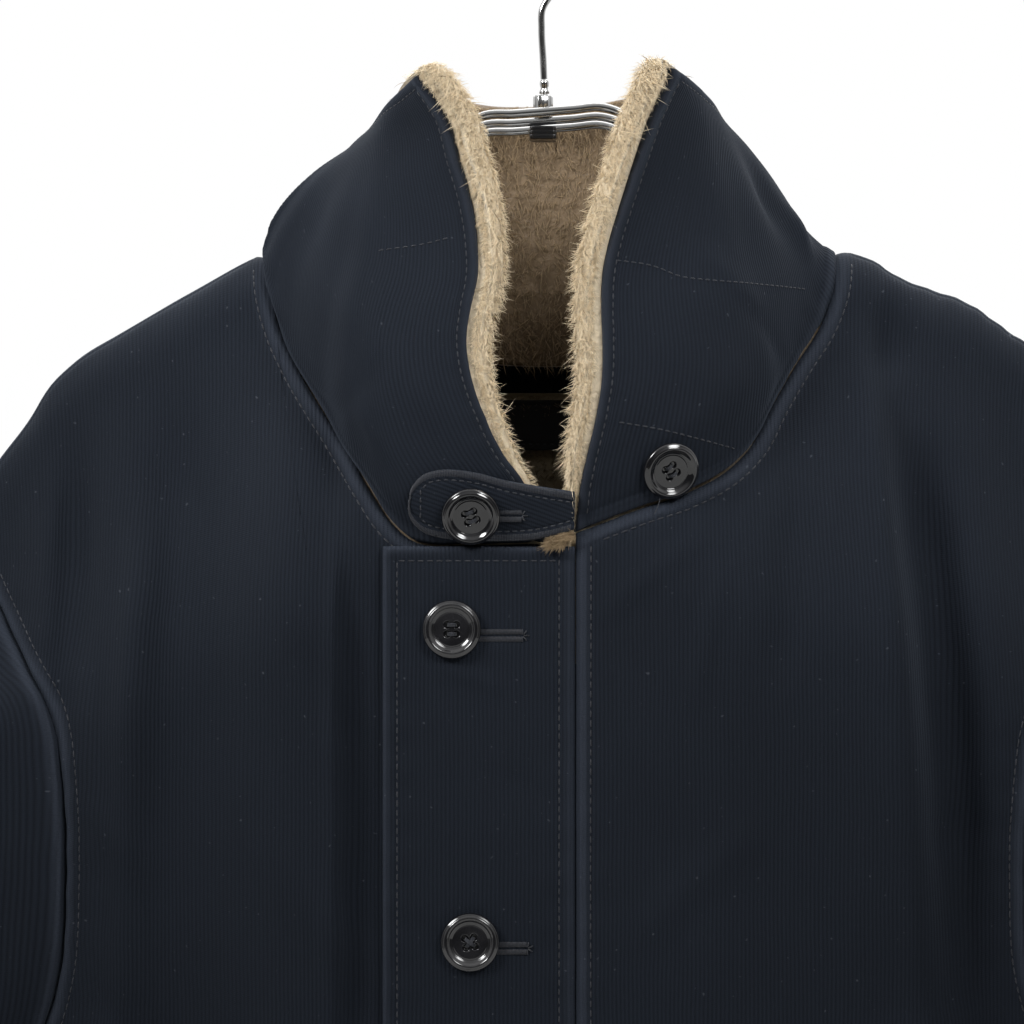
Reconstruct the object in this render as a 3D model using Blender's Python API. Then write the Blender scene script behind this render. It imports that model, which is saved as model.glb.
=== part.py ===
"""A deck jacket on a chrome wire hanger, at real size in metres: X across, -Y to the front, Z up.

The origin is where a rod holds the hanger's hook. Left and right are as seen from the front. Each cloth
piece is a wall of even thickness whose outer face is a grid of points between smooth edge curves. The
curves come from the named sizes and the short tables below.
"""

import math

import bmesh
import bpy
import numpy as np
from mathutils import Matrix, Vector
from mathutils.bvhtree import BVHTree

MM = 0.001

# Cloth
SEAM_GAP = 0.3 * MM
FOLD_GAP = 1.5 * MM
WELD = 0.02 * MM
SLEEVE_LIFT = 5.0 * MM
COLLAR_LIFT = 1.5 * MM
COLLAR_SEAM_LIFT = 0.7 * MM
BODY_WALL = 3.0 * MM
COLLAR_WALL = 2.5 * MM
PLACKET_WALL = 3.0 * MM
TAB_WALL = 2.4 * MM
PILE_WALL = 9.0 * MM
LINING_WALL = 5.0 * MM
PATCH_WALL = 1.2 * MM

# Body, as heights below the hook and half widths
HEM_HEIGHT = -882 * MM
UNDERARM_HEIGHT = -497 * MM
HALF_CHEST = 236 * MM
HALF_HEM = 247 * MM
FRONT_DEPTH = 85 * MM
BACK_DEPTH = 66 * MM
SIDE_ROUNDNESS = 2.8
CREST_HALF = 25 * MM
CREST_DROP = 20 * MM
FRONT_RUN = 165 * MM
BACK_RUN = 110 * MM

# Front closure
PLACKET_LEFT = -62.3 * MM
PLACKET_RIGHT = 11.7 * MM
PLACKET_TOP = -267.2 * MM
UNDERLAP_EDGE = 0.0
OVERLAP_SEAM = PLACKET_RIGHT + SEAM_GAP
UNDERLAP_SINK = PLACKET_WALL + 0.7 * MM
UNDERLAP_STEP_START = 20 * MM
UNDERLAP_STEP_WIDTH = 11 * MM

# Buttons
BUTTON_RADIUS = 11.3 * MM
BUTTON_THICKNESS = 3.6 * MM
BUTTON_STEP = 120 * MM
BUTTON_HOLE_RADIUS = 1.1 * MM
BUTTON_HOLE_OUT = 2.5 * MM
BUTTON_SIDES = 14

# Hanger
WIRE_RADIUS = 1.7 * MM
HOOK_WIRE_RADIUS = 1.4 * MM
HOOK_INNER_RADIUS = 20 * MM
NUT_RADIUS = 4.0 * MM
NUT_TOP = -84.6 * MM
NUT_BOTTOM = -93.5 * MM
BRACKET_SIZE = (11 * MM, 16.6 * MM, 5.4 * MM)
BRACKET_CENTRE = (0.0, 3.4 * MM, -100.4 * MM)

# Shoulder line seen from the front: out from the middle, height on the left, height on the right, in mm
SHOULDER_LINE = (
    (0, -112, -112),
    (60, -127, -126),
    (100, -144, -142),
    (118, -152, -148),
    (132, -159, -151.5),
    (144, -166, -159),
    (154, -172, -163),
    (172, -182, -169.5),
    (190, -194, -182),
    (200, -204, -188.5),
    (207, -215, -194.5),
    (220, -232, -211),
    (236, -255, -238),
)

# Neck seam on the left front, from the middle to the neck point: across, height, in mm
NECK_LEFT = (
    (0, -266),
    (-28, -266.5),
    (-51, -265),
    (-60, -257),
    (-66, -248),
    (-80, -225),
    (-97.5, -197),
    (-105, -181),
    (-109, -166),
    (-110.5, -151.5),
)
# Neck seam on the right front, in the same way
NECK_RIGHT = (
    (12, -262),
    (37, -252.5),
    (56, -246),
    (72, -237),
    (81, -228),
    (90, -212),
    (101, -194),
    (110, -180.5),
    (116, -165),
    (118, -149.5),
)
# Neck seam across the back, left to right, in mm
NECK_BACK = ((-110.5, -151.5), (-97, -158.3), (-52, -176), (0, -182), (54, -176), (102, -157), (118, -149.5))

# Front armhole, from the shoulder point down to the underarm: out from the middle, height, in mm
ARMHOLE_FRONT = (
    (236, -247),
    (222, -284),
    (207, -311),
    (194, -334),
    (189, -365),
    (188, -400),
    (191, -438),
    (203, -469),
    (221, -488),
    (236, -497),
)
# Back armhole, in the same way
ARMHOLE_BACK = ((236, -247), (224, -290), (214, -345), (211, -400), (214, -448), (225, -482), (236, -497))

# Long folds of the fronts: across and height at the top, across and height at the foot, half width, rise, in mm
FRONT_FOLDS = (
    (-186, -215, -200, -882, 12, -12),
    (-157, -240, -196, -882, 15, 8),
    (-144, -195, -135, -882, 32, -14),
    (-101, -185, -112, -882, 30, 7),
    (-80, -235, -78, -882, 8, 3),
    (143, -156, 137, -205, 7, -6),
    (127, -168, 188, -882, 15, 9),
    (150, -212, 198, -882, 19, -15),
    (98, -236, 92, -330, 9, -3),
    (58, -460, 50, -882, 32, 6),
    (105, -470, 118, -882, 26, -8),
)
# Long folds of the back, in the same way
BACK_FOLDS = (
    (-176, -262, -190, -882, 24, -12),
    (-128, -236, -122, -882, 28, 9),
    (-60, -300, -48, -882, 33, -9),
    (6, -262, 14, -882, 34, 7),
    (66, -318, 74, -882, 30, -10),
    (130, -240, 136, -882, 28, 9),
    (178, -250, 192, -882, 24, -12),
)

# Sleeve rings from the armhole to the cuff: inner across and height, outer across and height, depth to the
# front and to the back, and how far the ring has left the armhole's shape, in mm
SLEEVE_RINGS = (
    (238.0, -501.5, 256, -287, 70, 62, 0.34),
    (239.4, -505.5, 284, -344, 74, 66, 0.62),
    (241.0, -511.0, 309, -402, 77, 70, 0.84),
    (242.6, -519.0, 328, -456, 79, 73, 1.0),
    (245.0, -534.0, 341, -510, 80, 75, 1.0),
    (249.0, -572.0, 350, -565, 78, 74, 1.0),
    (256.0, -630.0, 357, -628, 73, 70, 1.0),
    (264.0, -688.0, 361, -690, 67, 65, 1.0),
    (272.0, -742.0, 363, -746, 63, 60, 1.0),
    (279.0, -792.0, 363, -798, 59, 56, 1.0),
    (285.0, -838.0, 361, -845, 56, 52, 1.0),
)
# Creases round the sleeve: height at the outside, height at the inside, half width, rise, in mm
SLEEVE_FOLDS = ((-455, -540, 16, 5), (-500, -590, 14, -6), (-560, -640, 20, 5), (-620, -668, 15, -6), (-745, -700, 18, 4))

# Top edge of the collar, from the left corner round the back to the right corner, in mm
COLLAR_TOP = (
    (-51, -72, -86),
    (-61, -48, -92),
    (-68, -20, -98),
    (-69, 8, -99),
    (-62, 38, -91),
    (-38, 63, -81),
    (0, 72, -78),
    (38, 63, -80),
    (63, 38, -88),
    (70, 8, -95),
    (70, -20, -94),
    (63, -48, -88),
    (51, -72, -82),
)
# Where the two neck points lie along the top edge, as a share of its length
COLLAR_TOP_SIDES = (0.195, 0.805)
# Collar sections: place round the neck (0 and 1 at the front edges, 0.3 and 0.7 at the neck points), then how
# far the cloth's pull point lies out and up from the seam, and out and down from the top edge, in mm
COLLAR_SECTIONS = (
    (0.00, 16, 48, 4, 60),
    (0.10, 18, 44, 8, 56),
    (0.20, 14, 34, 14, 34),
    (0.30, 1, 22, 19, 13),
    (0.40, 3, 30, 10, 24),
    (0.50, 3, 36, 6, 34),
    (0.60, 3, 30, 10, 24),
    (0.70, -19, 9, 21, 15),
    (0.80, 8, 28, 16, 36),
    (0.90, 20, 38, 9, 56),
    (1.00, 17, 46, 4, 60),
)
# The collar's front edges: height, across on the left, across on the right, in mm
COLLAR_FRONT_EDGES = (
    (-262, 0, 12),
    (-242, -8, 14.5),
    (-231, -16, 17),
    (-218, -22.3, 20),
    (-203, -27.7, 22.4),
    (-188, -30, 22.8),
    (-176, -28.9, 22.6),
    (-161, -26.5, 23.6),
    (-151, -27, 26),
    (-134, -30, 31.6),
    (-117, -35.5, 37.6),
    (-101, -40.5, 43.6),
    (-86, -51, 51),
)
# Soft buckles of the collar: place round, share of the height, half widths of both, rise in mm
COLLAR_BUCKLES = (
    (0.235, 0.42, 0.030, 0.28, -3.0),
    (0.765, 0.62, 0.022, 0.16, -3.5),
    (0.735, 0.36, 0.020, 0.12, 3.0),
    (0.845, 0.55, 0.030, 0.30, -2.0),
    (0.420, 0.45, 0.040, 0.30, -3.0),
    (0.570, 0.50, 0.045, 0.30, -3.0),
)
# Upper back inside: left, right, foot and top of the lining that shows and of the patch on it, in mm
LINING_BOX = (-73, 73, -318, -204)
PATCH_BOX = (-42, 42, -228, -207)
LAP_GAP = 2.2 * MM
PILE_PAST_EDGE = 3.0 * MM
PILE_PAST_TOP = 2.0 * MM

# Chin tab: across, height of the upper edge, height of the lower edge, in mm
TAB_OUTLINE = (
    (-51.8, -248.0, -253.0),
    (-50.0, -243.0, -257.5),
    (-45.5, -239.2, -261.3),
    (-38.0, -237.7, -263.6),
    (-27.0, -238.8, -264.6),
    (-15.0, -241.8, -264.8),
    (-4.0, -243.8, -264.2),
    (6.0, -245.4, -262.0),
    (11.4, -246.2, -260.5),
)

# Hanger arm seen from the front: out from the middle, height on the left, height on the right, in mm
HANGER_ARM = (
    (0, -93, -93),
    (12, -93.9, -92.1),
    (24, -94.7, -91.3),
    (31, -98.5, -93.5),
    (40, -110, -102),
    (54, -128, -121),
    (74, -147, -142),
    (106, -172, -169),
    (150, -191, -184),
    (197, -212.6, -198.4),
)
# Wires of the hanger: depth in the jacket at the bar and at the ends, drop at the bar and on the arms, in mm
HANGER_WIRES = (("front", -14, -6.5, 0, 6.5), ("middle", 0, 0, 2.5, 0), ("rear", 14, 6.5, 4.5, 6.5))

# Colours as linear red, green and blue, then roughness and metallic value
CLOTH = ((0.012, 0.016, 0.030), 0.9, 0.0)
PILE = ((0.48, 0.38, 0.26), 0.95, 0.0)
DARK_LINING = ((0.10, 0.075, 0.045), 0.95, 0.0)
BLACK_PATCH = ((0.008, 0.008, 0.009), 0.8, 0.0)
BUTTON_GLOSS = ((0.006, 0.006, 0.008), 0.15, 0.0)
CHROME = ((0.62, 0.62, 0.63), 0.12, 1.0)

# Grid sizes
NECK_STEPS = 9
SHOULDER_STEPS = 9
BACK_NECK_STEPS = 10
SIDE_STEPS = 8
ARMHOLE_STEPS = 12
COLLAR_STEPS = 9
PLACKET_COLUMNS = 5
PLACKET_ROWS = 22
TAB_ROWS = 5
EDGE_CROWDING = 1.7
TOP_FADE = 4
WIRE_STEPS = 30


# Curves and grids


def ease(t):
    """0 below 0, 1 above 1, and a smooth rise between."""
    t = np.clip(t, 0.0, 1.0)
    return t * t * (3.0 - 2.0 * t)


def cubic(knots, values, t):
    """Values at t on a smooth curve that takes each value at its knot (cubic Hermite pieces)."""
    knots = np.asarray(knots, float)
    values = np.asarray(values, float)
    slopes = np.gradient(values, knots, axis=0)
    t = np.clip(t, knots[0], knots[-1])
    i = np.clip(np.searchsorted(knots, t, side="right") - 1, 0, len(knots) - 2)
    span = knots[i + 1] - knots[i]
    f = (t - knots[i]) / span
    if values.ndim > 1:
        f, span = f[..., None], span[..., None]
    start = ((2 * f - 3) * f * f + 1) * values[i] + ((f - 2) * f + 1) * f * span * slopes[i]
    end = (3 - 2 * f) * f * f * values[i + 1] + (f - 1) * f * f * span * slopes[i + 1]
    return start + end


def through(rows, t):
    """Points at t, a share of the chord length, on a smooth curve through the rows."""
    rows = np.asarray(rows, float)
    lengths = np.linalg.norm(np.diff(rows, axis=0), axis=1)
    knots = np.concatenate([[0.0], np.cumsum(lengths)]) / lengths.sum()
    return cubic(knots, rows, t)


def crowded(steps, power):
    """steps + 1 values from 0 to 1 that crowd towards 1."""
    return 1.0 - (1.0 - np.linspace(0.0, 1.0, steps + 1)) ** power


def both_ends(steps):
    """Shares from 0 to 1 that lie closer together at both ends."""
    even = np.linspace(0, 1, steps + 1)
    return 0.3 * even + 0.35 * (1 - np.cos(math.pi * even))


def column(table, index):
    """One column of a table in mm, in metres."""
    return np.array([row[index] for row in table], float) * MM


def normals(grid, wrap=False):
    """Unit normals of a grid: the cross product of its two steps at each point."""
    if wrap:
        along = np.roll(grid, -1, axis=0) - np.roll(grid, 1, axis=0)
    else:
        along = np.gradient(grid, axis=0)
    across = np.gradient(grid, axis=1)
    n = np.cross(along, across)
    return n / np.maximum(np.linalg.norm(n, axis=2, keepdims=True), 1e-12)


def unit(v):
    """The same vectors at length 1."""
    return v / np.linalg.norm(v, axis=-1, keepdims=True)


def across(seam, n, toward, wrap=False):
    """Directions that leave a seam square to it within the surface, on the side the given ones point to."""
    if wrap:
        tangent = np.roll(seam, -1, axis=0) - np.roll(seam, 1, axis=0)
    else:
        tangent = np.gradient(seam, axis=0)
    out = unit(np.cross(tangent, n))
    return out * np.sign((out * toward).sum())


# Shape of the hanging body


def shoulder_line(x):
    """Height of the top of the jacket over x."""
    out = column(SHOULDER_LINE, 0)
    left = cubic(out, column(SHOULDER_LINE, 1), np.abs(x))
    right = cubic(out, column(SHOULDER_LINE, 2), np.abs(x))
    return np.where(x < 0, left, right)


def half_width(z):
    """Half width of the body at a height."""
    return HALF_CHEST + (HALF_HEM - HALF_CHEST) * ease((UNDERARM_HEIGHT - z) / (UNDERARM_HEIGHT - HEM_HEIGHT))


def fold_rise(x, z, table):
    """Sum of the folds: each is a bell across, whose middle runs from its top to its foot."""
    rise = np.zeros_like(x)
    for x_top, z_top, x_foot, z_foot, half, height in np.array(table) * MM:
        run = (z_top - z) / (z_top - z_foot)
        middle = x_top + (x_foot - x_top) * run
        width = half * (0.5 + 0.5 * ease(run * 2.5))
        start = ease((z_top - z) / (60 * MM) if z_foot == HEM_HEIGHT else run * 3.0)
        stop = 1.0 if z_foot == HEM_HEIGHT else ease((1.0 - run) * 3.0)
        rise += height * start * stop * np.exp(-(((x - middle) / width) ** 2))
    return rise


def body_depth(x, z, front):
    """Y of the jacket's outer face: round over the shoulder, deepest at the chest, round at the sides."""
    below = np.maximum(shoulder_line(x) - z, 0.0)
    crest = CREST_HALF * np.sqrt(np.maximum(1.0 - (1.0 - np.minimum(below / CREST_DROP, 1.0)) ** 2, 0.0))
    full, run, folds = (FRONT_DEPTH, FRONT_RUN, FRONT_FOLDS) if front else (BACK_DEPTH, BACK_RUN, BACK_FOLDS)
    depth = crest + (full - CREST_HALF) * ease(below / run)
    side = np.sqrt(np.maximum(1.0 - np.minimum(np.abs(x) / half_width(z), 1.0) ** SIDE_ROUNDNESS, 0.0))
    folded = fold_rise(x, z, folds) * ease(below / (30 * MM)) * side
    y = depth * side + folded
    return -y if front else y


def front_depth(x, z):
    """Y of a front's outer face. The left front sinks under the placket that lies on it."""
    y = body_depth(x, z, front=True)
    step = (x - PLACKET_LEFT + UNDERLAP_STEP_START) / UNDERLAP_STEP_WIDTH
    under = ease(step) * (x < (UNDERLAP_EDGE + OVERLAP_SEAM) / 2)
    return y + (placket_depth(x, z) + UNDERLAP_SINK - y) * under


def placket_depth(x, z):
    """Y of the placket's outer face: flush with the right front at their seam, and flat across."""
    return body_depth(np.full_like(x, OVERLAP_SEAM), z, front=True)


def side_edge(side, armhole, steps_side, steps_armhole):
    """Side seam from the hem up to the underarm, then the armhole up to the shoulder point, as x and z."""
    z = np.linspace(HEM_HEIGHT, UNDERARM_HEIGHT, steps_side + 1)
    seam = np.stack([side * half_width(z), z], axis=1)
    rows = np.array(armhole, float) * MM
    rows[0, 1] = shoulder_line(np.array([side * HALF_CHEST]))[0]
    hole = through(rows[::-1], both_ends(steps_armhole)) * [side, 1]
    return np.concatenate([seam, hole[1:]])


def raised(plan, front):
    """Adds the depth to a grid of x and z. Seams of the shoulder and side stand half a gap from the middle."""
    x, z = plan[..., 0], plan[..., 1]
    y = front_depth(x, z) if front else body_depth(x, z, front=False)
    half_gap = SEAM_GAP / 2
    y = np.minimum(y, -half_gap) if front else np.maximum(y, half_gap)
    return np.stack([plan[..., 0], y, plan[..., 1]], axis=-1)


def front_grid(side):
    """Outer face of one front as a grid: columns from the middle to the side, rows from the hem up."""
    neck = np.array(NECK_LEFT if side < 0 else NECK_RIGHT, float) * MM
    neckline = through(neck, np.linspace(0, 1, NECK_STEPS + 1))
    reach = abs(neck[-1, 0]) + (HALF_CHEST - abs(neck[-1, 0])) * crowded(SHOULDER_STEPS, 1.3)[1:]
    shoulder = np.stack([side * reach, shoulder_line(side * reach)], axis=1)
    top = np.concatenate([neckline, shoulder])
    edge = side_edge(side, ARMHOLE_FRONT, SIDE_STEPS, ARMHOLE_STEPS)
    middle_x = neck[0, 0]
    spread = np.concatenate([np.linspace(0, 0.46, NECK_STEPS + 1), 0.46 + 0.54 * crowded(SHOULDER_STEPS, EDGE_CROWDING)[1:]])
    foot = np.stack([middle_x + (edge[0, 0] - middle_x) * spread, np.full(len(spread), HEM_HEIGHT)], axis=1)
    lower = np.linspace(0, 0.6, SIDE_STEPS + 1)
    upper = 0.6 + 0.4 * both_ends(ARMHOLE_STEPS)[1:]
    share = np.concatenate([lower, upper])
    middle = np.stack([np.full(len(share), middle_x), HEM_HEIGHT + (top[0, 1] - HEM_HEIGHT) * share], axis=1)
    return raised(between_edges(foot, top, middle, edge, spread, share), front=True)


def between_edges(foot, top, left, right, s, t):
    """Grid between four edges, with the shares along both. The top edge's bends die away quickly below it."""
    s = np.asarray(s)[:, None, None]
    t = np.asarray(t)[None, :, None] ** TOP_FADE
    ruled = (1 - t) * foot[:, None] + t * top[:, None] + (1 - s) * left[None] + s * right[None]
    corners = (1 - s) * (1 - t) * foot[0] + s * (1 - t) * foot[-1] + (1 - s) * t * top[0] + s * t * top[-1]
    return ruled - corners


def back_grid():
    """Outer face of the back as a grid: columns from left to right, rows from the hem up."""
    neck = np.array(NECK_BACK, float) * MM
    neckline = through(neck, np.linspace(0, 1, BACK_NECK_STEPS + 1))
    shoulders = []
    for side, inner in ((-1, abs(neck[0, 0])), (1, neck[-1, 0])):
        reach = inner + (HALF_CHEST - inner) * crowded(SHOULDER_STEPS, 1.3)[1:]
        shoulders.append(np.stack([side * reach, shoulder_line(side * reach)], axis=1))
    top = np.concatenate([shoulders[0][::-1], neckline, shoulders[1]])
    left = side_edge(-1, ARMHOLE_BACK, SIDE_STEPS, ARMHOLE_STEPS)
    right = side_edge(1, ARMHOLE_BACK, SIDE_STEPS, ARMHOLE_STEPS)
    outer = 0.5 * (1 - 0.50 * np.linspace(0, 1, BACK_NECK_STEPS // 2 + 1)[-1])
    half_shoulder = outer * (1 - crowded(SHOULDER_STEPS, EDGE_CROWDING)[::-1])
    inner = np.linspace(outer, 1 - outer, BACK_NECK_STEPS + 1)
    spread = np.concatenate([half_shoulder[:-1], inner, 1 - half_shoulder[::-1][1:]])
    foot = np.stack([left[0, 0] + (right[0, 0] - left[0, 0]) * spread, np.full(len(spread), HEM_HEIGHT)], axis=1)
    share = np.concatenate([np.linspace(0, 0.6, SIDE_STEPS + 1), 0.6 + 0.4 * both_ends(ARMHOLE_STEPS)[1:]])
    return raised(between_edges(foot, top, left, right, spread, share), front=False)


def body_normals(grid, front, edge_columns, top_columns):
    """Outward normals of a body panel. Along the side and shoulder seams they lie in the seam's own plane."""
    n = normals(grid)
    wanted = -1.0 if front else 1.0
    n *= wanted * np.sign(n[len(n) // 2, 5, 1])
    for i in edge_columns:
        n[i, : SIDE_STEPS + 1, 1] = 0.0
        n[i, -1, 1] = 0.0
    n[top_columns, -1, 1] = 0.0
    return unit(n)


# Solids


def material(name, look):
    """A Principled material from a colour, a roughness and a metallic value."""
    made = bpy.data.materials.new(name)
    made.use_nodes = True
    shader = made.node_tree.nodes["Principled BSDF"]
    shader.inputs["Base Color"].default_value = (*look[0], 1.0)
    shader.inputs["Roughness"].default_value = look[1]
    shader.inputs["Metallic"].default_value = look[2]
    return made


def place(name, mesh, look):
    """Puts a mesh in the jacket's collection with its material."""
    piece = bpy.data.objects.new(name, mesh)
    mesh.materials.append(look)
    mesh.shade_smooth()
    mesh.set_sharp_from_angle(angle=math.radians(40))
    jacket.objects.link(piece)
    return piece


def wall_mesh(name, outer, inner, wrap=False):
    """Closed wall between two grids of the same size: both faces and the rims, with faces pointing out."""
    rows, cols = outer.shape[:2]
    points = np.concatenate([outer.reshape(-1, 3), inner.reshape(-1, 3)])
    index = np.arange(rows * cols).reshape(rows, cols)
    if wrap:
        index = np.concatenate([index, index[:1]])
    lower = index + rows * cols
    faces = [halves(quads(index)), halves(quads(lower))[:, ::-1]]
    rims = [(index[:, -1], lower[:, -1]), (lower[:, 0], index[:, 0])]
    if not wrap:
        rims += [(lower[-1], index[-1]), (index[0], lower[0])]
    for near, far in rims:
        faces.append(halves(np.stack([near[:-1], far[:-1], far[1:], near[1:]], axis=1)))
    mesh = bpy.data.meshes.new(name)
    mesh.from_pydata(points.tolist(), [], np.concatenate(faces).tolist())
    shell = bmesh.new()
    shell.from_mesh(mesh)
    bmesh.ops.recalc_face_normals(shell, faces=shell.faces)
    shell.to_mesh(mesh)
    shell.free()
    return mesh


def quads(index):
    """Quads of a grid of point numbers."""
    return np.stack([index[:-1, :-1], index[1:, :-1], index[1:, 1:], index[:-1, 1:]], axis=-1).reshape(-1, 4)


def halves(corners):
    """Each quad as two triangles, cut the same way on every wall so that neighbours stay parallel."""
    return np.concatenate([corners[:, [0, 1, 2]], corners[:, [0, 2, 3]]])


def wall(name, outer, n, thickness, look, wrap=False):
    """A cloth wall whose outer face is the grid and whose inner face lies the thickness behind it."""
    return place(name, wall_mesh(name, outer, outer - n * thickness, wrap), look)


def trim(piece, name, grid, n, thickness):
    """Cuts a piece back to a small gap from a wall that it meets at a fold."""
    wide = grid + n * FOLD_GAP
    wide[:, -1] += across(grid[:, -1], n[:, -1], grid[:, -1] - grid[:, -2]) * FOLD_GAP
    wide[-1] += across(grid[-1], n[-1], grid[-1] - grid[-2]) * FOLD_GAP
    mesh = wall_mesh(name, wide, wide - n * (thickness + 2 * FOLD_GAP))
    cutter = bpy.data.objects.new(name, mesh)
    cutter.hide_render = True
    cutter.display_type = "WIRE"
    cutters.objects.link(cutter)
    cut = piece.modifiers.new(name, "BOOLEAN")
    cut.operation = "DIFFERENCE"
    cut.solver = "EXACT"
    cut.use_self = True
    cut.object = cutter
    bpy.context.view_layer.update()
    whole = bpy.data.meshes.new_from_object(piece.evaluated_get(bpy.context.evaluated_depsgraph_get()))
    piece.modifiers.clear()
    piece.data = largest_body(whole)


def largest_body(mesh):
    """The mesh without the crumbs that a cut leaves beside it."""
    shell = bmesh.new()
    shell.from_mesh(mesh)
    bmesh.ops.remove_doubles(shell, verts=shell.verts, dist=WELD)
    bmesh.ops.dissolve_degenerate(shell, edges=shell.edges, dist=WELD)
    bmesh.ops.triangulate(shell, faces=shell.faces)
    left = set(shell.verts)
    bodies = []
    while left:
        body = [left.pop()]
        for vert in body:
            for edge in vert.link_edges:
                other = edge.other_vert(vert)
                if other in left:
                    left.remove(other)
                    body.append(other)
        bodies.append(body)
    bodies.sort(key=len)
    for body in bodies[:-1]:
        bmesh.ops.delete(shell, geom=body, context="VERTS")
    shell.to_mesh(mesh)
    shell.free()
    return mesh


def tree_of(grid):
    """The outer face of a grid, ready to find the surface under a point."""
    rows, cols = grid.shape[:2]
    faces = quads(np.arange(rows * cols).reshape(rows, cols))
    return BVHTree.FromPolygons(grid.reshape(-1, 3).tolist(), faces.tolist())


def face_under(tree, x, z):
    """The point of a surface met from the front at x and z, and the direction out of it."""
    point, normal, _, _ = tree.ray_cast(Vector((x, -1.0, z)), Vector((0.0, 1.0, 0.0)))
    return point, normal if normal.y < 0 else -normal


# Pieces


def body_panels():
    """Outer faces and normals of the two fronts and the back."""
    fronts = {}
    for side in (-1, 1):
        grid = front_grid(side)
        n = body_normals(grid, True, (-1,), slice(NECK_STEPS + 1, None))
        if side > 0:
            n[0, :, 0] = 0.0
            n = unit(n)
        fronts[side] = (grid, n)
    grid = back_grid()
    n = body_normals(grid, False, (0, -1), np.r_[0:SHOULDER_STEPS, -SHOULDER_STEPS:0])
    return fronts, (grid, n)


def share_neck_normals(fronts, back, collar_n):
    """At the neck seam the body and the collar end in the same slanted face, half way between their own."""
    left = fronts[-1][1][: NECK_STEPS + 1, -1]
    right = fronts[1][1][: NECK_STEPS + 1, -1]
    rear = back[1][SHOULDER_STEPS:-SHOULDER_STEPS, -1]
    shared = unit(np.concatenate([left, rear[1:-1], right[::-1]]) + collar_n[:, 0])
    shared[0] = unit(shared[0] * [0, 1, 1])
    shared[-1] = unit(shared[-1] * [0, 1, 1])
    for k in (NECK_STEPS, NECK_STEPS + BACK_NECK_STEPS):
        shared[k] = unit(shared[k] * [1, 0, 1])
    left[:] = shared[: NECK_STEPS + 1]
    rear[:] = shared[NECK_STEPS : NECK_STEPS + BACK_NECK_STEPS + 1]
    right[:] = shared[NECK_STEPS + BACK_NECK_STEPS :][::-1]
    collar_n[:, 0] = shared


def share_armhole_ends(fronts, back):
    """Where an armhole meets the shoulder and side seams, the front and the back end in the same line."""
    for side, column_back in ((-1, 0), (1, -1)):
        for row in (SIDE_STEPS, -1):
            shared = unit((fronts[side][1][-1, row] + back[1][column_back, row]) * [1, 0, 1])
            fronts[side][1][-1, row] = shared
            back[1][column_back, row] = shared


def inner_face(grid, n, front):
    """Inner face of a body panel, which stops at the plane of the shoulder and side seams."""
    inner = grid - n * BODY_WALL
    limit, stop = (np.minimum, -SEAM_GAP / 2) if front else (np.maximum, SEAM_GAP / 2)
    inner[..., 1] = limit(inner[..., 1], stop)
    return inner


def build_body(fronts, back):
    """The two fronts and the back."""
    for side, name in ((-1, "front_left"), (1, "front_right")):
        place(name, wall_mesh(name, fronts[side][0], inner_face(*fronts[side], True)), cloth)
    place("back", wall_mesh("back", back[0], inner_face(*back, False)), cloth)


def sleeve_grid(side, front, back):
    """Outer face of a sleeve: rings from the armhole to the cuff, each from the top round the front and back."""
    start = SIDE_STEPS
    front_hole = front[0][-1, start:][::-1]
    back_column = 0 if side < 0 else -1
    back_hole = back[0][back_column, start:]
    ring = np.concatenate([front_hole, back_hole[1:-1]])
    angle = np.concatenate([
        np.linspace(0, math.pi, len(front_hole)),
        np.linspace(math.pi, 2 * math.pi, len(back_hole))[1:-1],
    ])
    lengths = np.linalg.norm(np.diff(front_hole, axis=0), axis=1)
    angle[: len(front_hole)] = np.concatenate([[0], np.cumsum(lengths)]) / lengths.sum() * math.pi
    lengths = np.linalg.norm(np.diff(back_hole, axis=0), axis=1)
    angle[len(front_hole):] = math.pi + (np.cumsum(lengths) / lengths.sum() * math.pi)[:-1]
    edge_front = unit(front[0][-1, start:] - front[0][-2, start:])[::-1]
    edge_back = unit(back[0][back_column, start:] - back[0][back_column - side, start:])
    panel_edge = np.concatenate([edge_front, edge_back[1:-1]])
    panel_out = np.concatenate([front[1][-1, start:][::-1], back[1][back_column, start:][1:-1]])
    seam_out = across(ring, panel_out, panel_edge, wrap=True)
    low = (1 - np.cos(angle))[:, None] / 2
    turn = ease(low * 1.3 - 0.15) * math.pi / 2
    away = np.cos(turn) * seam_out + np.sin(turn) * panel_out
    ring = ring + SEAM_GAP * (seam_out + np.sin(turn) * panel_out)
    ring[[0, len(front_hole) - 1], 1] = 0.0
    rings = [ring]
    for x_in, z_in, x_out, z_out, deep_front, deep_back, left_armhole in np.array(SLEEVE_RINGS):
        inner = np.array([side * x_in, 0.0, z_in]) * MM
        outer = np.array([side * x_out, 0.0, z_out + (9 if side > 0 else -8) * max(0.0, 1 - (236 - x_out) / -40)]) * MM
        middle = (inner + outer) / 2
        half = (outer - inner) / 2
        depth = np.where(np.sin(angle) > 0, -deep_front, deep_back) * MM * np.abs(np.sin(angle)) ** 0.85
        along = np.sign(np.cos(angle)) * np.abs(np.cos(angle)) ** 0.9
        oval = middle + along[:, None] * half + np.stack([0 * depth, depth, 0 * depth], axis=1)
        lift = max(0.0, 1.0 - (left_armhole - SLEEVE_RINGS[0][6]) * 2.0)
        rings.append(ring + (oval - ring) * left_armhole + away * SLEEVE_LIFT * lift)
    inner_ring = ring + BODY_WALL * (np.sin(turn) * seam_out - np.cos(turn) * panel_out)
    inner_ring[[0, len(front_hole) - 1], 1] = 0.0
    return add_sleeve_folds(np.stack(rings, axis=1), angle, side), inner_ring


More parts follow.
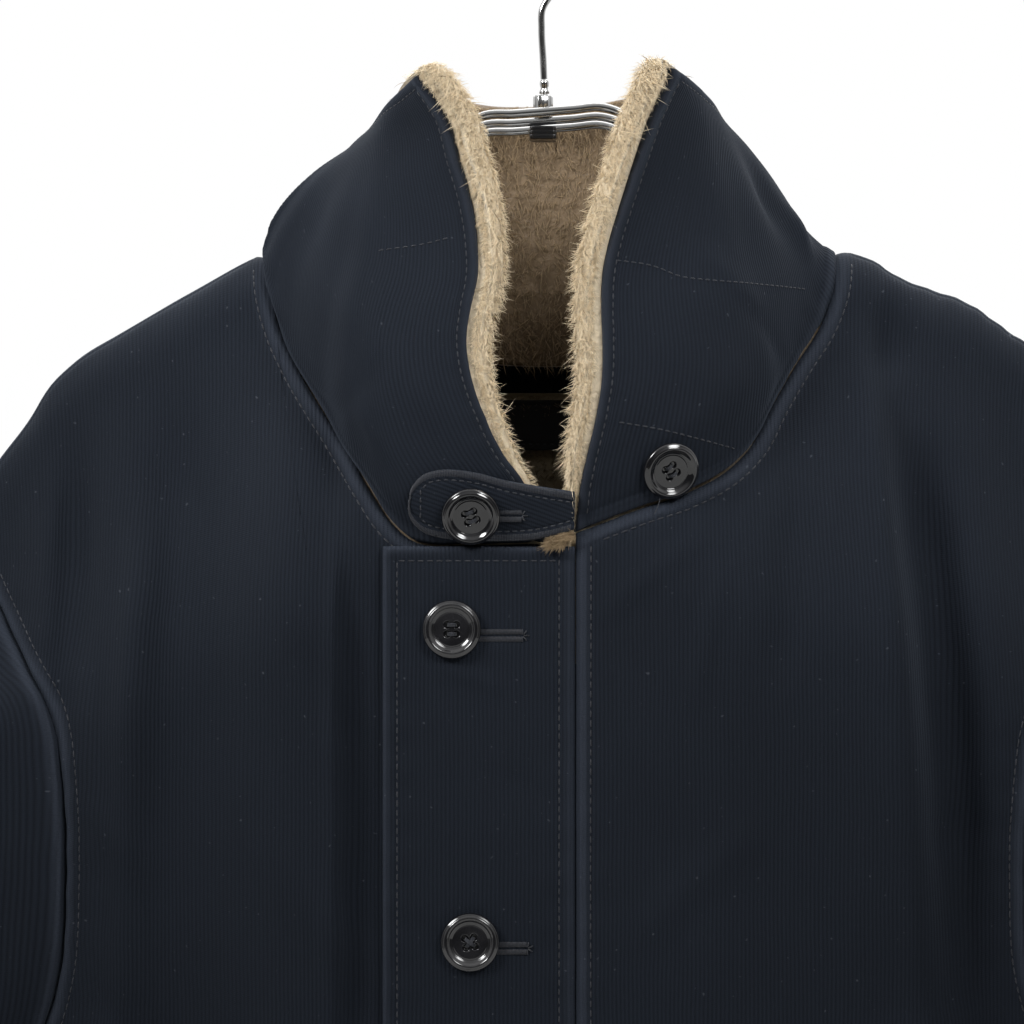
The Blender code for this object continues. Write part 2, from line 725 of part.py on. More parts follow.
def add_sleeve_folds(grid, angle, side):
    """Raises and sinks the slanting creases of a sleeve, most on its front and outer faces."""
    z_out, z_in, half, rise = (column(SLEEVE_FOLDS, k) for k in range(4))
    outward = np.stack([side * np.cos(angle), -np.sin(angle), 0 * angle], axis=1)[:, None, :]
    amount = np.zeros(grid.shape[:2])
    share_in = (1 - np.cos(angle))[:, None] / 2
    for k in range(len(half)):
        middle = z_out[k] + (z_in[k] - z_out[k]) * share_in
        amount += rise[k] * np.exp(-(((grid[..., 2] - middle) / half[k]) ** 2))
    amount *= (1 - share_in ** 2) * np.clip(np.arange(grid.shape[1]) - 2, 0, 3)[None, :] / 3
    return grid + outward * amount[..., None]


def build_sleeves(fronts, back):
    """Two sleeves, open at the armhole and at the cuff."""
    for side, name in ((-1, "sleeve_left"), (1, "sleeve_right")):
        grid, inner_ring = sleeve_grid(side, fronts[side], back)
        n = normals(grid, wrap=True)
        n *= side * np.sign(n[0, -1, 0])
        inner = grid - n * BODY_WALL
        inner[:, 0] = inner_ring
        sleeve = place(name, wall_mesh(name, grid, inner, wrap=True), cloth)
        keep = SIDE_STEPS - 2
        grid, n = fronts[side]
        trim(sleeve, name + "_off_front", grid[-7:, keep:], n[-7:, keep:], BODY_WALL)
        grid, n = back[0][::side], back[1][::side]
        trim(sleeve, name + "_off_back", grid[-7:, keep:], n[-7:, keep:], BODY_WALL)


def neck_ring(fronts, back):
    """The neck seam from the left front edge round the back to the right front edge: points and normals."""
    left, right = fronts[-1], fronts[1]
    rear = slice(SHOULDER_STEPS + 1, -SHOULDER_STEPS - 1)
    return [
        np.concatenate([left[k][: NECK_STEPS + 1, -1], back[k][rear, -1], right[k][: NECK_STEPS + 1, -1][::-1]])
        for k in range(2)
    ]


def collar_grid(ring, ring_normals):
    """Outer face of the collar: at each place round the neck a cubic arc from the seam to the top edge."""
    lengths = np.linalg.norm(np.diff(ring, axis=0), axis=1)
    around = np.concatenate([[0], np.cumsum(lengths)]) / lengths.sum()
    sides = around[[NECK_STEPS, NECK_STEPS + BACK_NECK_STEPS]]
    place_round = np.interp(around, [0, sides[0], sides[1], 1], [0, 0.3, 0.7, 1])
    on_top = cubic([0, 0.3, 0.5, 0.7, 1], [0, COLLAR_TOP_SIDES[0], 0.5, COLLAR_TOP_SIDES[1], 1], place_round)
    top = through(np.array(COLLAR_TOP) * MM, on_top)
    out_seam, up_seam, out_top, down_top = (
        cubic([r[0] for r in COLLAR_SECTIONS], column(COLLAR_SECTIONS, k), place_round)[:, None] for k in range(1, 5)
    )
    out = ring * [1, 1, 0]
    out = unit(out / [120 * MM, 75 * MM, 1])
    up = np.array([0.0, 0.0, 1.0])
    start = ring + SEAM_GAP * across(ring, ring_normals, up)
    start[1 : NECK_STEPS + 1] += COLLAR_SEAM_LIFT * unit(ring_normals[1 : NECK_STEPS + 1] * [1, 1, 0])
    pull_low = start + out_seam * out + up_seam * up
    pull_high = top + out_top * unit(top * [1, 1, 0]) - down_top * up
    v = np.linspace(0, 1, COLLAR_STEPS + 1)[None, :, None]
    arcs = (
        (1 - v) ** 3 * start[:, None]
        + 3 * v * (1 - v) ** 2 * pull_low[:, None]
        + 3 * v * v * (1 - v) * pull_high[:, None]
        + v ** 3 * top[:, None]
    )
    height, left, right = (column(COLLAR_FRONT_EDGES, k) for k in range(3))
    for end, edge, near in ((0, left, place_round / 0.17), (-1, right, (1 - place_round) / 0.17)):
        shift = cubic(height, edge, arcs[end, :, 2]) - arcs[end, :, 0]
        shift[0] = 0.0
        arcs[..., 0] += (1 - ease(near))[:, None] * shift[None, :]
    return arcs, place_round


def buckle(grid, place_round, n):
    """Adds the soft buckles of the collar along its normals."""
    v = np.linspace(0, 1, grid.shape[1])[None, :]
    rise = np.zeros(grid.shape[:2])
    for where, share, half_round, half_high, height in COLLAR_BUCKLES:
        bell = ((place_round[:, None] - where) / half_round) ** 2 + ((v - share) / half_high) ** 2
        rise += height * MM * np.exp(-bell)
    rise *= ease(v * 5)
    return grid + n * rise[..., None]


def collar_normals(grid):
    """Outward normals of the collar."""
    n = normals(grid)
    return n * np.sign(n[len(n) // 2, 4, 1])


def collar_face(ring, ring_normals, front):
    """Outer face and normals of the collar, whose low rows on the left stand a little off the front."""
    grid, place_round = collar_grid(ring, ring_normals)
    grid = buckle(grid, place_round, collar_normals(grid))
    off = unit(front[1][: NECK_STEPS + 1, -1]) * COLLAR_LIFT
    for row, share in ((1, 1.0), (2, 0.9), (3, 0.6), (4, 0.3)):
        grid[1 : NECK_STEPS + 1, row] += off[1:] * share
    return grid, collar_normals(grid)


def build_collar(grid, n, front):
    """The standing collar of cloth and its pile lining, which shows past the front and top edges."""
    shell = wall("collar_shell", grid, n, COLLAR_WALL, cloth)
    trim(shell, "collar_off_front", front[0][: NECK_STEPS + 4, 4:], front[1][: NECK_STEPS + 4, 4:], BODY_WALL)
    lining = grid[:, 1:] - n[:, 1:] * (COLLAR_WALL + SEAM_GAP)
    lining_n = n[:, 1:]
    first = lining[:1] + unit(lining[:1] - lining[1:2]) * PILE_PAST_EDGE
    last = lining[-1:] + unit(lining[-1:] - lining[-2:-1]) * PILE_PAST_EDGE
    lining = np.concatenate([first, lining, last])
    lining_n = np.concatenate([lining_n[:1], lining_n, lining_n[-1:]])
    over = lining[:, -1:] + unit(lining[:, -1:] - lining[:, -2:-1]) * PILE_PAST_TOP
    lining = np.concatenate([lining, over], axis=1)
    lining_n = np.concatenate([lining_n, lining_n[:, -1:]], axis=1)
    wall("collar_pile", lining, lining_n, PILE_WALL, pile)


def build_placket():
    """The front edge facing that carries the buttonholes, sewn to the right front and lying on the left one."""
    x = np.linspace(PLACKET_LEFT, PLACKET_RIGHT, PLACKET_COLUMNS + 1)[:, None]
    z = np.linspace(HEM_HEIGHT, PLACKET_TOP, PLACKET_ROWS + 1)[None, :]
    x, z = np.broadcast_arrays(x, z)
    y = placket_depth(x, z)
    grid = np.stack([x, y, z], axis=-1)
    n = np.broadcast_to([0.0, -1.0, 0.0], grid.shape)
    wall("placket", grid, n, PLACKET_WALL, cloth)


def button_mesh(name):
    """A four-hole button: a turned disc with a raised rim and a dished middle, its face to -Y."""
    rim = BUTTON_RADIUS
    deep = BUTTON_THICKNESS
    profile = (
        (0.0, 0.42 * deep),
        (0.62 * rim, 0.42 * deep),
        (0.72 * rim, 0.78 * deep),
        (0.88 * rim, deep),
        (0.97 * rim, 0.80 * deep),
        (rim, 0.45 * deep),
        (0.80 * rim, 0.0),
        (0.0, 0.0),
    )
    disc = bmesh.new()
    rings = []
    for radius, height in profile:
        if radius == 0.0:
            rings.append([disc.verts.new((0.0, -height, 0.0))])
            continue
        angles = (2 * math.pi * k / BUTTON_SIDES for k in range(BUTTON_SIDES))
        rings.append([disc.verts.new((radius * math.cos(a), -height, radius * math.sin(a))) for a in angles])
    for near, far in zip(rings, rings[1:]):
        for k in range(BUTTON_SIDES):
            corners = (near[k % len(near)], near[(k + 1) % len(near)], far[(k + 1) % len(far)], far[k % len(far)])
            disc.faces.new(dict.fromkeys(corners))
    bmesh.ops.recalc_face_normals(disc, faces=disc.faces)
    mesh = bpy.data.meshes.new(name)
    disc.to_mesh(mesh)
    disc.free()
    return mesh


def build_button(name, point, normal, turn):
    """A button a seam's gap above a surface, facing out of it, with its four holes cut through."""
    mesh = button_mesh(name)
    facing = normal.to_track_quat("-Y", "Z").to_matrix().to_4x4()
    where = Matrix.Translation(point + normal * SEAM_GAP) @ facing @ Matrix.Rotation(turn, 4, "Y")
    piece = place(name, mesh, gloss)
    piece.matrix_world = where
    for k in range(4):
        angle = math.radians(45 + 90 * k)
        reach = BUTTON_HOLE_OUT
        bpy.ops.mesh.primitive_cylinder_add(vertices=6, radius=BUTTON_HOLE_RADIUS, depth=4 * BUTTON_THICKNESS)
        hole = bpy.context.object
        hole.name = f"{name}_hole_{k + 1}"
        offset = Matrix.Translation((reach * math.cos(angle), 0.0, reach * math.sin(angle)))
        hole.matrix_world = where @ offset @ Matrix.Rotation(math.pi / 2, 4, "X") @ Matrix.Rotation(0.2, 4, "Z")
        hole.hide_render = True
        hole.display_type = "WIRE"
        bpy.context.collection.objects.unlink(hole)
        cutters.objects.link(hole)
        cut = piece.modifiers.new(hole.name, "BOOLEAN")
        cut.operation = "DIFFERENCE"
        cut.object = hole
    return piece


def build_front_buttons():
    """Five buttons down the placket, a step apart. The first two stand where the buttonholes pull them."""
    first = -299 * MM
    for k, x in enumerate((-35.7, -28.7, -28.2, -28.0, -28.0)):
        z = first - k * BUTTON_STEP
        x = x * MM
        y = float(placket_depth(np.array([x]), np.array([z]))[0])
        build_button(f"front_button_{k + 1}", Vector((x, y, z)), Vector((0.0, -1.0, 0.0)), math.radians(8 * k))


def build_tab(collar):
    """The chin tab: from the right collar's front edge across to the left, lying on the left collar."""
    tree = tree_of(collar)
    x, high, low = (column(TAB_OUTLINE, k) for k in range(3))
    share = np.linspace(0, 1, TAB_ROWS + 1)[None, :]
    z = low[:, None] + (high - low)[:, None] * share
    y = np.zeros_like(z)
    left_end, right_end = -14 * MM, 20 * MM
    for i, j in np.ndindex(z.shape):
        on_left = face_under(tree, float(min(x[i], left_end)), float(max(z[i, j], -262 * MM)))[0].y
        on_right = face_under(tree, float(right_end), float(max(z[i, j], -250 * MM)))[0].y
        y[i, j] = on_left + (on_right - on_left) * float(np.clip((x[i] - left_end) / (right_end - left_end), 0, 1))
    grid = np.stack([np.broadcast_to(x[:, None], z.shape), y, z], axis=-1)
    n = normals(grid)
    n *= -np.sign(n[3:4, 2:3, 1:2])
    clear = 0.9 * MM
    outer = grid + n * (TAB_WALL + clear)
    wall("chin_tab", outer, n, TAB_WALL, cloth)
    return outer, tree


def build_collar_buttons(tab, tree):
    """The button that closes the tab, and the spare one that stows it on the right collar."""
    point, normal = face_under(tree_of(tab), -28.4 * MM, -255.2 * MM)
    build_button("tab_button", point + normal * 0.25 * MM, normal, math.radians(20))
    point, normal = face_under(tree, 47.9 * MM, -237.5 * MM)
    build_button("collar_button", point + normal * 0.5 * MM, normal, math.radians(35))


def build_back_lining(back):
    """The lining of the upper back that shows through the neck, and the plain patch sewn to it."""
    grid, n = back
    lining = inside_of(grid - n * BODY_WALL, LINING_BOX, 9, 7, LAP_GAP)
    lining_n = normals(lining)
    lining_n *= np.sign(lining_n[4, 3, 1])
    wall("back_lining", lining, lining_n, LINING_WALL, lining_look)
    patch = inside_of(lining - lining_n * LINING_WALL, PATCH_BOX, 7, 4, LAP_GAP / 2)
    patch_n = normals(patch)
    patch_n *= np.sign(patch_n[3, 2, 1])
    wall("neck_patch", patch, patch_n, PATCH_WALL, patch_look)


def inside_of(surface, box, columns, rows, gap):
    """A grid in the box of x and z that lies the gap in front of a surface of the back."""
    tree = tree_of(surface)
    x_low, x_high, z_low, z_high = (value * MM for value in box)
    grid = np.zeros((columns, rows, 3))
    for i, x in enumerate(np.linspace(x_low, x_high, columns)):
        for j, z in enumerate(np.linspace(z_low, z_high, rows)):
            grid[i, j] = face_under(tree, x, z)[0] - Vector((0.0, gap, 0.0))
    return grid


def wire(name, points, radius, look):
    """A round wire along a smooth curve through the points, with closed ends."""
    path = through(np.array(points, float), np.linspace(0, 1, WIRE_STEPS + 1))
    curve = bpy.data.curves.new(name, "CURVE")
    curve.dimensions = "3D"
    spline = curve.splines.new("POLY")
    spline.points.add(len(path) - 1)
    for point, at in zip(spline.points, path):
        point.co = (*at, 1.0)
    curve.bevel_depth = radius
    curve.bevel_resolution = 2
    curve.use_fill_caps = True
    piece = bpy.data.objects.new(name, curve)
    curve.materials.append(look)
    jacket.objects.link(piece)
    return piece


def build_hanger():
    """Three parallel wires bent into a flat bar and two sloping arms, a ferrule, a nut and the hook."""
    for name, bar_depth, end_depth, bar_drop, arm_drop in HANGER_WIRES:
        points = []
        for side in (-1, 1):
            rows = HANGER_ARM[:0:-1] if side < 0 else HANGER_ARM
            for out, left, right in rows:
                height = left if side < 0 else right
                along = float(ease((out - 24) / 90.0))
                drop = bar_drop + (arm_drop - bar_drop) * along
                depth = bar_depth + (end_depth - bar_depth) * max(0.0, (out - 100) / 99)
                points.append((side * out * MM, depth * MM, (height - drop) * MM))
        wire(f"hanger_wire_{name}", points, WIRE_RADIUS, chrome)
    radius = HOOK_INNER_RADIUS + HOOK_WIRE_RADIUS
    stem = [(0.0006, 0.0, NUT_TOP + SEAM_GAP), (0.0, 0.0, -70 * MM), (-0.0006, 0.0, -58 * MM), (-0.0002, 0.0, -50 * MM)]
    sweep = np.radians(np.linspace(-72, 196, 14))
    turn = [(radius * math.cos(a), 0.0, -HOOK_INNER_RADIUS + radius * math.sin(a)) for a in sweep]
    hook_wire("hanger_hook", stem + [(0.0035, 0.0, -44.0 * MM)] + turn)
    bpy.ops.mesh.primitive_cylinder_add(vertices=20, radius=NUT_RADIUS, depth=NUT_TOP - NUT_BOTTOM)
    nut = bpy.context.object
    nut.name = "hanger_nut"
    nut.location = (0.0, 0.0, (NUT_TOP + NUT_BOTTOM) / 2)
    nut.data.materials.append(chrome)
    bpy.context.collection.objects.unlink(nut)
    jacket.objects.link(nut)
    bpy.ops.mesh.primitive_cube_add(size=1.0, location=BRACKET_CENTRE)
    bracket = bpy.context.object
    bracket.name = "hanger_bracket"
    bracket.data.transform(Matrix.Diagonal((*BRACKET_SIZE, 1.0)))
    bracket.data.materials.append(chrome)
    bpy.context.collection.objects.unlink(bracket)
    jacket.objects.link(bracket)


def hook_wire(name, points):
    """The hook's own thinner wire, kept as a tight smooth curve through its points."""
    path = through(np.array(points, float), np.linspace(0, 1, 40))
    curve = bpy.data.curves.new(name, "CURVE")
    curve.dimensions = "3D"
    spline = curve.splines.new("POLY")
    spline.points.add(len(path) - 1)
    for point, at in zip(spline.points, path):
        point.co = (*at, 1.0)
    curve.bevel_depth = HOOK_WIRE_RADIUS
    curve.bevel_resolution = 2
    curve.use_fill_caps = True
    piece = bpy.data.objects.new(name, curve)
    curve.materials.append(chrome)
    jacket.objects.link(piece)


for old in list(bpy.data.objects):
    bpy.data.objects.remove(old, do_unlink=True)

jacket = bpy.data.collections.new("deck_jacket")
cutters = bpy.data.collections.new("cutters")
bpy.context.scene.collection.children.link(jacket)
bpy.context.scene.collection.children.link(cutters)

cloth = material("navy_cord", CLOTH)
pile = material("beige_pile", PILE)
lining_look = material("brown_lining", DARK_LINING)
patch_look = material("black_patch", BLACK_PATCH)
gloss = material("black_button", BUTTON_GLOSS)
chrome = material("chrome_wire", CHROME)

front_panels, back_panel = body_panels()
collar, collar_n = collar_face(*neck_ring(front_panels, back_panel), front_panels[-1])
share_neck_normals(front_panels, back_panel, collar_n)
share_armhole_ends(front_panels, back_panel)
build_body(front_panels, back_panel)
build_sleeves(front_panels, back_panel)
build_collar(collar, collar_n, front_panels[-1])
build_placket()
build_front_buttons()
tab_face, collar_tree = build_tab(collar)
build_collar_buttons(tab_face, collar_tree)
build_back_lining(back_panel)
build_hanger()
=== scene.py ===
"""Looks of a deck jacket on a chrome wire hanger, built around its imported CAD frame.

Lengths are in metres: X across, -Y to the front, Z up, the origin where a rod holds the hook. Left and right
are as seen from the front. Every cloth piece is a closed wall over a grid of points; its weave, nap and wear
come from shader node groups, and its seams, stitches, fur and buttonholes are meshes.
"""

import functools
import math

import bpy
import numpy as np
from bpy.props import FloatProperty, FloatVectorProperty, IntProperty, PointerProperty
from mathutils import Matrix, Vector
from mathutils.bvhtree import BVHTree


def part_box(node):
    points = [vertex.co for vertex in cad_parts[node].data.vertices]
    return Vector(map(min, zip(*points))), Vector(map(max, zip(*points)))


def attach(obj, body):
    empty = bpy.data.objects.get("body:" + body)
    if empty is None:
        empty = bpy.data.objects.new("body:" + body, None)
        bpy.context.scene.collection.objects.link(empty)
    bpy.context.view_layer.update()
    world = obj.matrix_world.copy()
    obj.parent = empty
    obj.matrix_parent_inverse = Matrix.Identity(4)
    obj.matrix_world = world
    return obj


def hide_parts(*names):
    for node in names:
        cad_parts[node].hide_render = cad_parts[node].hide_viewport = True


bl_info = {
    "name": "Deck Jacket",
    "version": (1, 0, 0),
    "blender": (4, 5, 0),
    "location": "3D View > Sidebar > Deck Jacket",
    "description": "Builds the cloth, fur, buttons, stitching and hanger of a deck jacket",
    "category": "Add Mesh",
}

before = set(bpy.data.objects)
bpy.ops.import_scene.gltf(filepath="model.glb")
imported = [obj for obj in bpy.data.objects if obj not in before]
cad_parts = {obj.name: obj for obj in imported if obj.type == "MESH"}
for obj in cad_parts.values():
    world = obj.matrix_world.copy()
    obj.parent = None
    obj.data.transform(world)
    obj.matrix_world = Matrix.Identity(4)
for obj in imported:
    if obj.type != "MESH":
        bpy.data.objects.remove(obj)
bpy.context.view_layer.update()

MM = 0.001
SEED = 383

# Cloth, the same sizes as the CAD solids
SEAM_GAP = 0.3 * MM
SLEEVE_LIFT = 5.0 * MM
SLEEVE_RADIUS = 72 * MM
COLLAR_LIFT = 1.5 * MM
COLLAR_SEAM_LIFT = 0.7 * MM
BODY_WALL = 3.0 * MM
COLLAR_WALL = 2.5 * MM
PLACKET_WALL = 3.0 * MM
TAB_WALL = 2.4 * MM
TAB_CLEAR = 0.9 * MM
PILE_PAST_EDGE = 5.0 * MM
PILE_PAST_TOP = 2.0 * MM
FUR_BELOW_SEAM = 12.0 * MM
RIM_REACH = 7.0 * MM

# Body, as heights below the hook and half widths
HEM_HEIGHT = -882 * MM
UNDERARM_HEIGHT = -497 * MM
HALF_CHEST = 236 * MM
HALF_HEM = 247 * MM
FRONT_DEPTH = 85 * MM
BACK_DEPTH = 66 * MM
SIDE_ROUNDNESS = 2.8
CREST_HALF = 25 * MM
CREST_DROP = 20 * MM
FRONT_RUN = 165 * MM
BACK_RUN = 110 * MM

# Front closure
PLACKET_LEFT = -62.3 * MM
PLACKET_RIGHT = 11.7 * MM
PLACKET_TOP = -267.2 * MM
UNDERLAP_EDGE = 0.0
OVERLAP_SEAM = PLACKET_RIGHT + SEAM_GAP
UNDERLAP_SINK = PLACKET_WALL + 0.7 * MM
UNDERLAP_STEP_START = 20 * MM
UNDERLAP_STEP_WIDTH = 11 * MM

# Buttons
BUTTON_RADIUS = 11.3 * MM
BUTTON_THICKNESS = 3.6 * MM
BUTTON_HOLE_RADIUS = 1.15 * MM
BUTTON_HOLE_OUT = 2.5 * MM

# Hanger
WIRE_RADIUS = 1.7 * MM
HOOK_WIRE_RADIUS = 1.4 * MM
HOOK_INNER_RADIUS = 20 * MM
NUT_RADIUS = 4.0 * MM
NUT_TOP = -84.6 * MM
NUT_BOTTOM = -93.5 * MM

# Steps of the shape grids, before their edges are divided more finely
NECK_STEPS = 40
SHOULDER_STEPS = 36
BACK_NECK_STEPS = 44
SIDE_STEPS = 46
ARMHOLE_STEPS = 60
COLLAR_STEPS = 48
SLEEVE_STEPS = 150
EDGE_CROWDING = 1.7
TOP_FADE = 4

# Shoulder line seen from the front: out from the middle, height on the left, height on the right, in mm
SHOULDER_LINE = (
    (0, -112, -112),
    (60, -127, -126),
    (100, -144, -142),
    (118, -152, -148),
    (132, -159, -151.5),
    (144, -166, -159),
    (154, -172, -163),
    (172, -182, -169.5),
    (190, -194, -182),
    (200, -204, -188.5),
    (207, -215, -194.5),
    (220, -232, -211),
    (236, -255, -238),
)

# Neck seam on the left front, from the middle to the neck point: across, height, in mm
NECK_LEFT = (
    (0, -266),
    (-28, -266.5),
    (-51, -265),
    (-60, -257),
    (-66, -248),
    (-80, -225),
    (-97.5, -197),
    (-105, -181),
    (-109, -166),
    (-110.5, -151.5),
)

# Neck seam on the right front, in the same way
NECK_RIGHT = (
    (12, -262),
    (37, -252.5),
    (56, -246),
    (72, -237),
    (81, -228),
    (90, -212),
    (101, -194),
    (110, -180.5),
    (116, -165),
    (118, -149.5),
)

# Neck seam across the back, left to right, in mm
NECK_BACK = ((-110.5, -151.5), (-97, -158.3), (-52, -176), (0, -182), (54, -176), (102, -157), (118, -149.5))

# Front armhole, from the shoulder point down to the underarm: out from the middle, height, in mm
ARMHOLE_FRONT = (
    (236, -247),
    (222, -284),
    (207, -311),
    (194, -334),
    (189, -365),
    (188, -400),
    (191, -438),
    (203, -469),
    (221, -488),
    (236, -497),
)

# Back armhole, in the same way
ARMHOLE_BACK = ((236, -247), (224, -290), (214, -345), (211, -400), (214, -448), (225, -482), (236, -497))

# Long folds of the fronts: across and height at the top, across and height at the foot, half width, rise, in mm
FRONT_FOLDS = (
    (-186, -215, -200, -882, 12, -12),
    (-157, -240, -196, -882, 15, 8),
    (-144, -195, -135, -882, 32, -14),
    (-101, -185, -112, -882, 30, 7),
    (-80, -235, -78, -882, 8, 3),
    (143, -156, 137, -205, 7, -6),
    (127, -168, 188, -882, 15, 9),
    (150, -212, 198, -882, 19, -15),
    (98, -236, 92, -330, 9, -3),
    (58, -460, 50, -882, 32, 6),
    (105, -470, 118, -882, 26, -8),
)

# Long folds of the back, in the same way
BACK_FOLDS = (
    (-176, -262, -190, -882, 24, -12),
    (-128, -236, -122, -882, 28, 9),
    (-60, -300, -48, -882, 33, -9),
    (6, -262, 14, -882, 34, 7),
    (66, -318, 74, -882, 30, -10),
    (130, -240, 136, -882, 28, 9),
    (178, -250, 192, -882, 24, -12),
)

# Sleeve rings from the armhole to the cuff: inner across and height, outer across and height, depth to the
# front and to the back, and how far the ring has left the armhole's shape, in mm
SLEEVE_RINGS = (
    (238.0, -501.5, 256, -287, 70, 62, 0.34),
    (239.4, -505.5, 284, -344, 74, 66, 0.62),
    (241.0, -511.0, 309, -402, 77, 70, 0.84),
    (242.6, -519.0, 328, -456, 79, 73, 1.0),
    (245.0, -534.0, 341, -510, 80, 75, 1.0),
    (249.0, -572.0, 350, -565, 78, 74, 1.0),
    (256.0, -630.0, 357, -628, 73, 70, 1.0),
    (264.0, -688.0, 361, -690, 67, 65, 1.0),
    (272.0, -742.0, 363, -746, 63, 60, 1.0),
    (279.0, -792.0, 363, -798, 59, 56, 1.0),
    (285.0, -838.0, 361, -845, 56, 52, 1.0),
)

# Creases round the sleeve: height at the outside, height at the inside, half width, rise, in mm
SLEEVE_FOLDS = ((-455, -540, 16, 5), (-500, -590, 14, -6), (-560, -640, 20, 5), (-620, -668, 15, -6), (-745, -700, 18, 4))

# Top edge of the collar, from the left corner round the back to the right corner, in mm
COLLAR_TOP = (
    (-51, -72, -86),
    (-61, -48, -92),
    (-68, -20, -98),
    (-69, 8, -99),
    (-62, 38, -91),
    (-38, 63, -81),
    (0, 72, -78),
    (38, 63, -80),
    (63, 38, -88),
    (70, 8, -95),
    (70, -20, -94),
    (63, -48, -88),
    (51, -72, -82),
)

# Where the two neck points lie along the top edge, as a share of its length
COLLAR_TOP_SIDES = (0.195, 0.805)

# Collar sections: place round the neck (0 and 1 at the front edges, 0.3 and 0.7 at the neck points), then how
# far the cloth's pull point lies out and up from the seam, and out and down from the top edge, in mm
COLLAR_SECTIONS = (
    (0.00, 16, 48, 4, 60),
    (0.10, 18, 44, 8, 56),
    (0.20, 14, 34, 14, 34),
    (0.30, 1, 22, 19, 13),
    (0.40, 3, 30, 10, 24),
    (0.50, 3, 36, 6, 34),
    (0.60, 3, 30, 10, 24),
    (0.70, -19, 9, 21, 15),
    (0.80, 8, 28, 16, 36),
    (0.90, 20, 38, 9, 56),
    (1.00, 17, 46, 4, 60),
)

# The collar's front edges: height, across on the left, across on the right, in mm
COLLAR_FRONT_EDGES = (
    (-262, 0, 12),
    (-242, -8, 14.5),
    (-231, -16, 17),
    (-218, -22.3, 20),
    (-203, -27.7, 22.4),
    (-188, -30, 22.8),
    (-176, -28.9, 22.6),
    (-161, -26.5, 23.6),
    (-151, -27, 26),
    (-134, -30, 31.6),
    (-117, -35.5, 37.6),
    (-101, -40.5, 43.6),
    (-86, -51, 51),
)

# Soft buckles of the collar: place round, share of the height, half widths of both, rise in mm
COLLAR_BUCKLES = (
    (0.235, 0.42, 0.030, 0.28, -3.0),
    (0.765, 0.62, 0.022, 0.16, -3.5),
    (0.735, 0.36, 0.020, 0.12, 3.0),
    (0.845, 0.55, 0.030, 0.30, -2.0),
    (0.420, 0.45, 0.040, 0.30, -3.0),
    (0.570, 0.50, 0.045, 0.30, -3.0),
)

# Chin tab: across, height of the upper edge, height of the lower edge, in mm
TAB_OUTLINE = (
    (-51.8, -248.0, -253.0),
    (-50.0, -243.0, -257.5),
    (-45.5, -239.2, -261.3),
    (-38.0, -237.7, -263.6),
    (-27.0, -238.8, -264.6),
    (-15.0, -241.8, -264.8),
    (-4.0, -243.8, -264.2),
    (6.0, -245.4, -262.0),
    (11.4, -246.2, -260.5),
)

# Hanger arm seen from the front: out from the middle, height on the left, height on the right, in mm
HANGER_ARM = (
    (0, -93, -93),
    (12, -93.9, -92.1),
    (24, -94.7, -91.3),
    (31, -98.5, -93.5),
    (40, -110, -102),
    (54, -128, -121),
    (74, -147, -142),
    (106, -172, -169),
    (150, -191, -184),
    (197, -212.6, -198.4),
)

# Wires of the hanger: depth in the jacket at the bar and at the ends, drop at the bar and on the arms, in mm
HANGER_WIRES = (("front", -14, -6.5, 0, 6.5), ("middle", 0, 0, 2.5, 0), ("rear", 14, 6.5, 4.5, 6.5))

# Short creases of the fronts: from and to (across, height), half width, rise, in mm
FRONT_CREASES = (
    (-182, -215, -168, -460, 11.0, -3.4),
    (-155, -205, -139, -460, 12.0, 2.0),
    (-105, -230, -100, -440, 12.0, -1.2),
    (-72, -255, -70, -480, 6.5, -2.6),
    (140, -180, 170, -460, 12.0, -3.8),
    (116, -190, 130, -460, 12.0, 1.8),
    (75, -280, 68, -460, 14.0, 1.2),
    (17, -296, 66, -258, 4.0, 1.0),
    (56, -332, 68, -274, 4.5, 0.9),
    (30, -420, 84, -372, 7.0, 1.2),
    (-66, -352, -98, -300, 6.0, -1.1),
    (-64, -440, -112, -372, 9.0, 1.3),
    (-70, -520, -128, -470, 9.0, -1.3),
    (-206, -352, -150, -396, 8.0, 1.5),
    (-198, -430, -128, -476, 9.0, -1.5),
    (202, -350, 150, -388, 8.0, -1.5),
    (196, -440, 120, -470, 9.0, 1.5),
    (214, -486, 140, -560, 10.0, -1.6),
    (-216, -488, -150, -566, 10.0, 1.6),
    (160, -600, 110, -680, 12.0, 1.4),
    (-170, -640, -110, -700, 12.0, -1.4),
    (20, -560, 70, -520, 9.0, 1.1),
    (22, -690, 76, -640, 10.0, -1.1),
)

# Short creases of the back, in the same way
BACK_CREASES = (
    (-206, -300, -120, -352, 10.0, 1.4),
    (208, -296, 118, -346, 10.0, -1.4),
    (-190, -430, -90, -470, 11.0, -1.5),
    (196, -440, 96, -486, 11.0, 1.5),
    (-40, -230, 52, -244, 7.0, -1.0),
    (-80, -560, 60, -590, 13.0, 1.3),
    (-30, -700, 110, -680, 13.0, -1.3),
    (-216, -490, -140, -570, 10.0, 1.5),
    (216, -490, 142, -566, 10.0, -1.5),
)

# Distances from a sewn edge at which its grid is cut, in mm; the stitch row lies in the groove at 6.2
SEWN_EDGE = (0, 0.3, 0.7, 1.3, 2.0, 2.9, 3.9, 4.8, 5.5, 6.2, 6.9, 7.8, 9.5, 12.0)
SEWN_ROW = 9
# The same at a turned edge, whose stitch row lies at 3.9
TURNED_EDGE = (0, 0.25, 0.6, 1.1, 1.7, 2.5, 3.2, 3.9, 4.6, 5.6, 7.5)
TURNED_ROW = 7

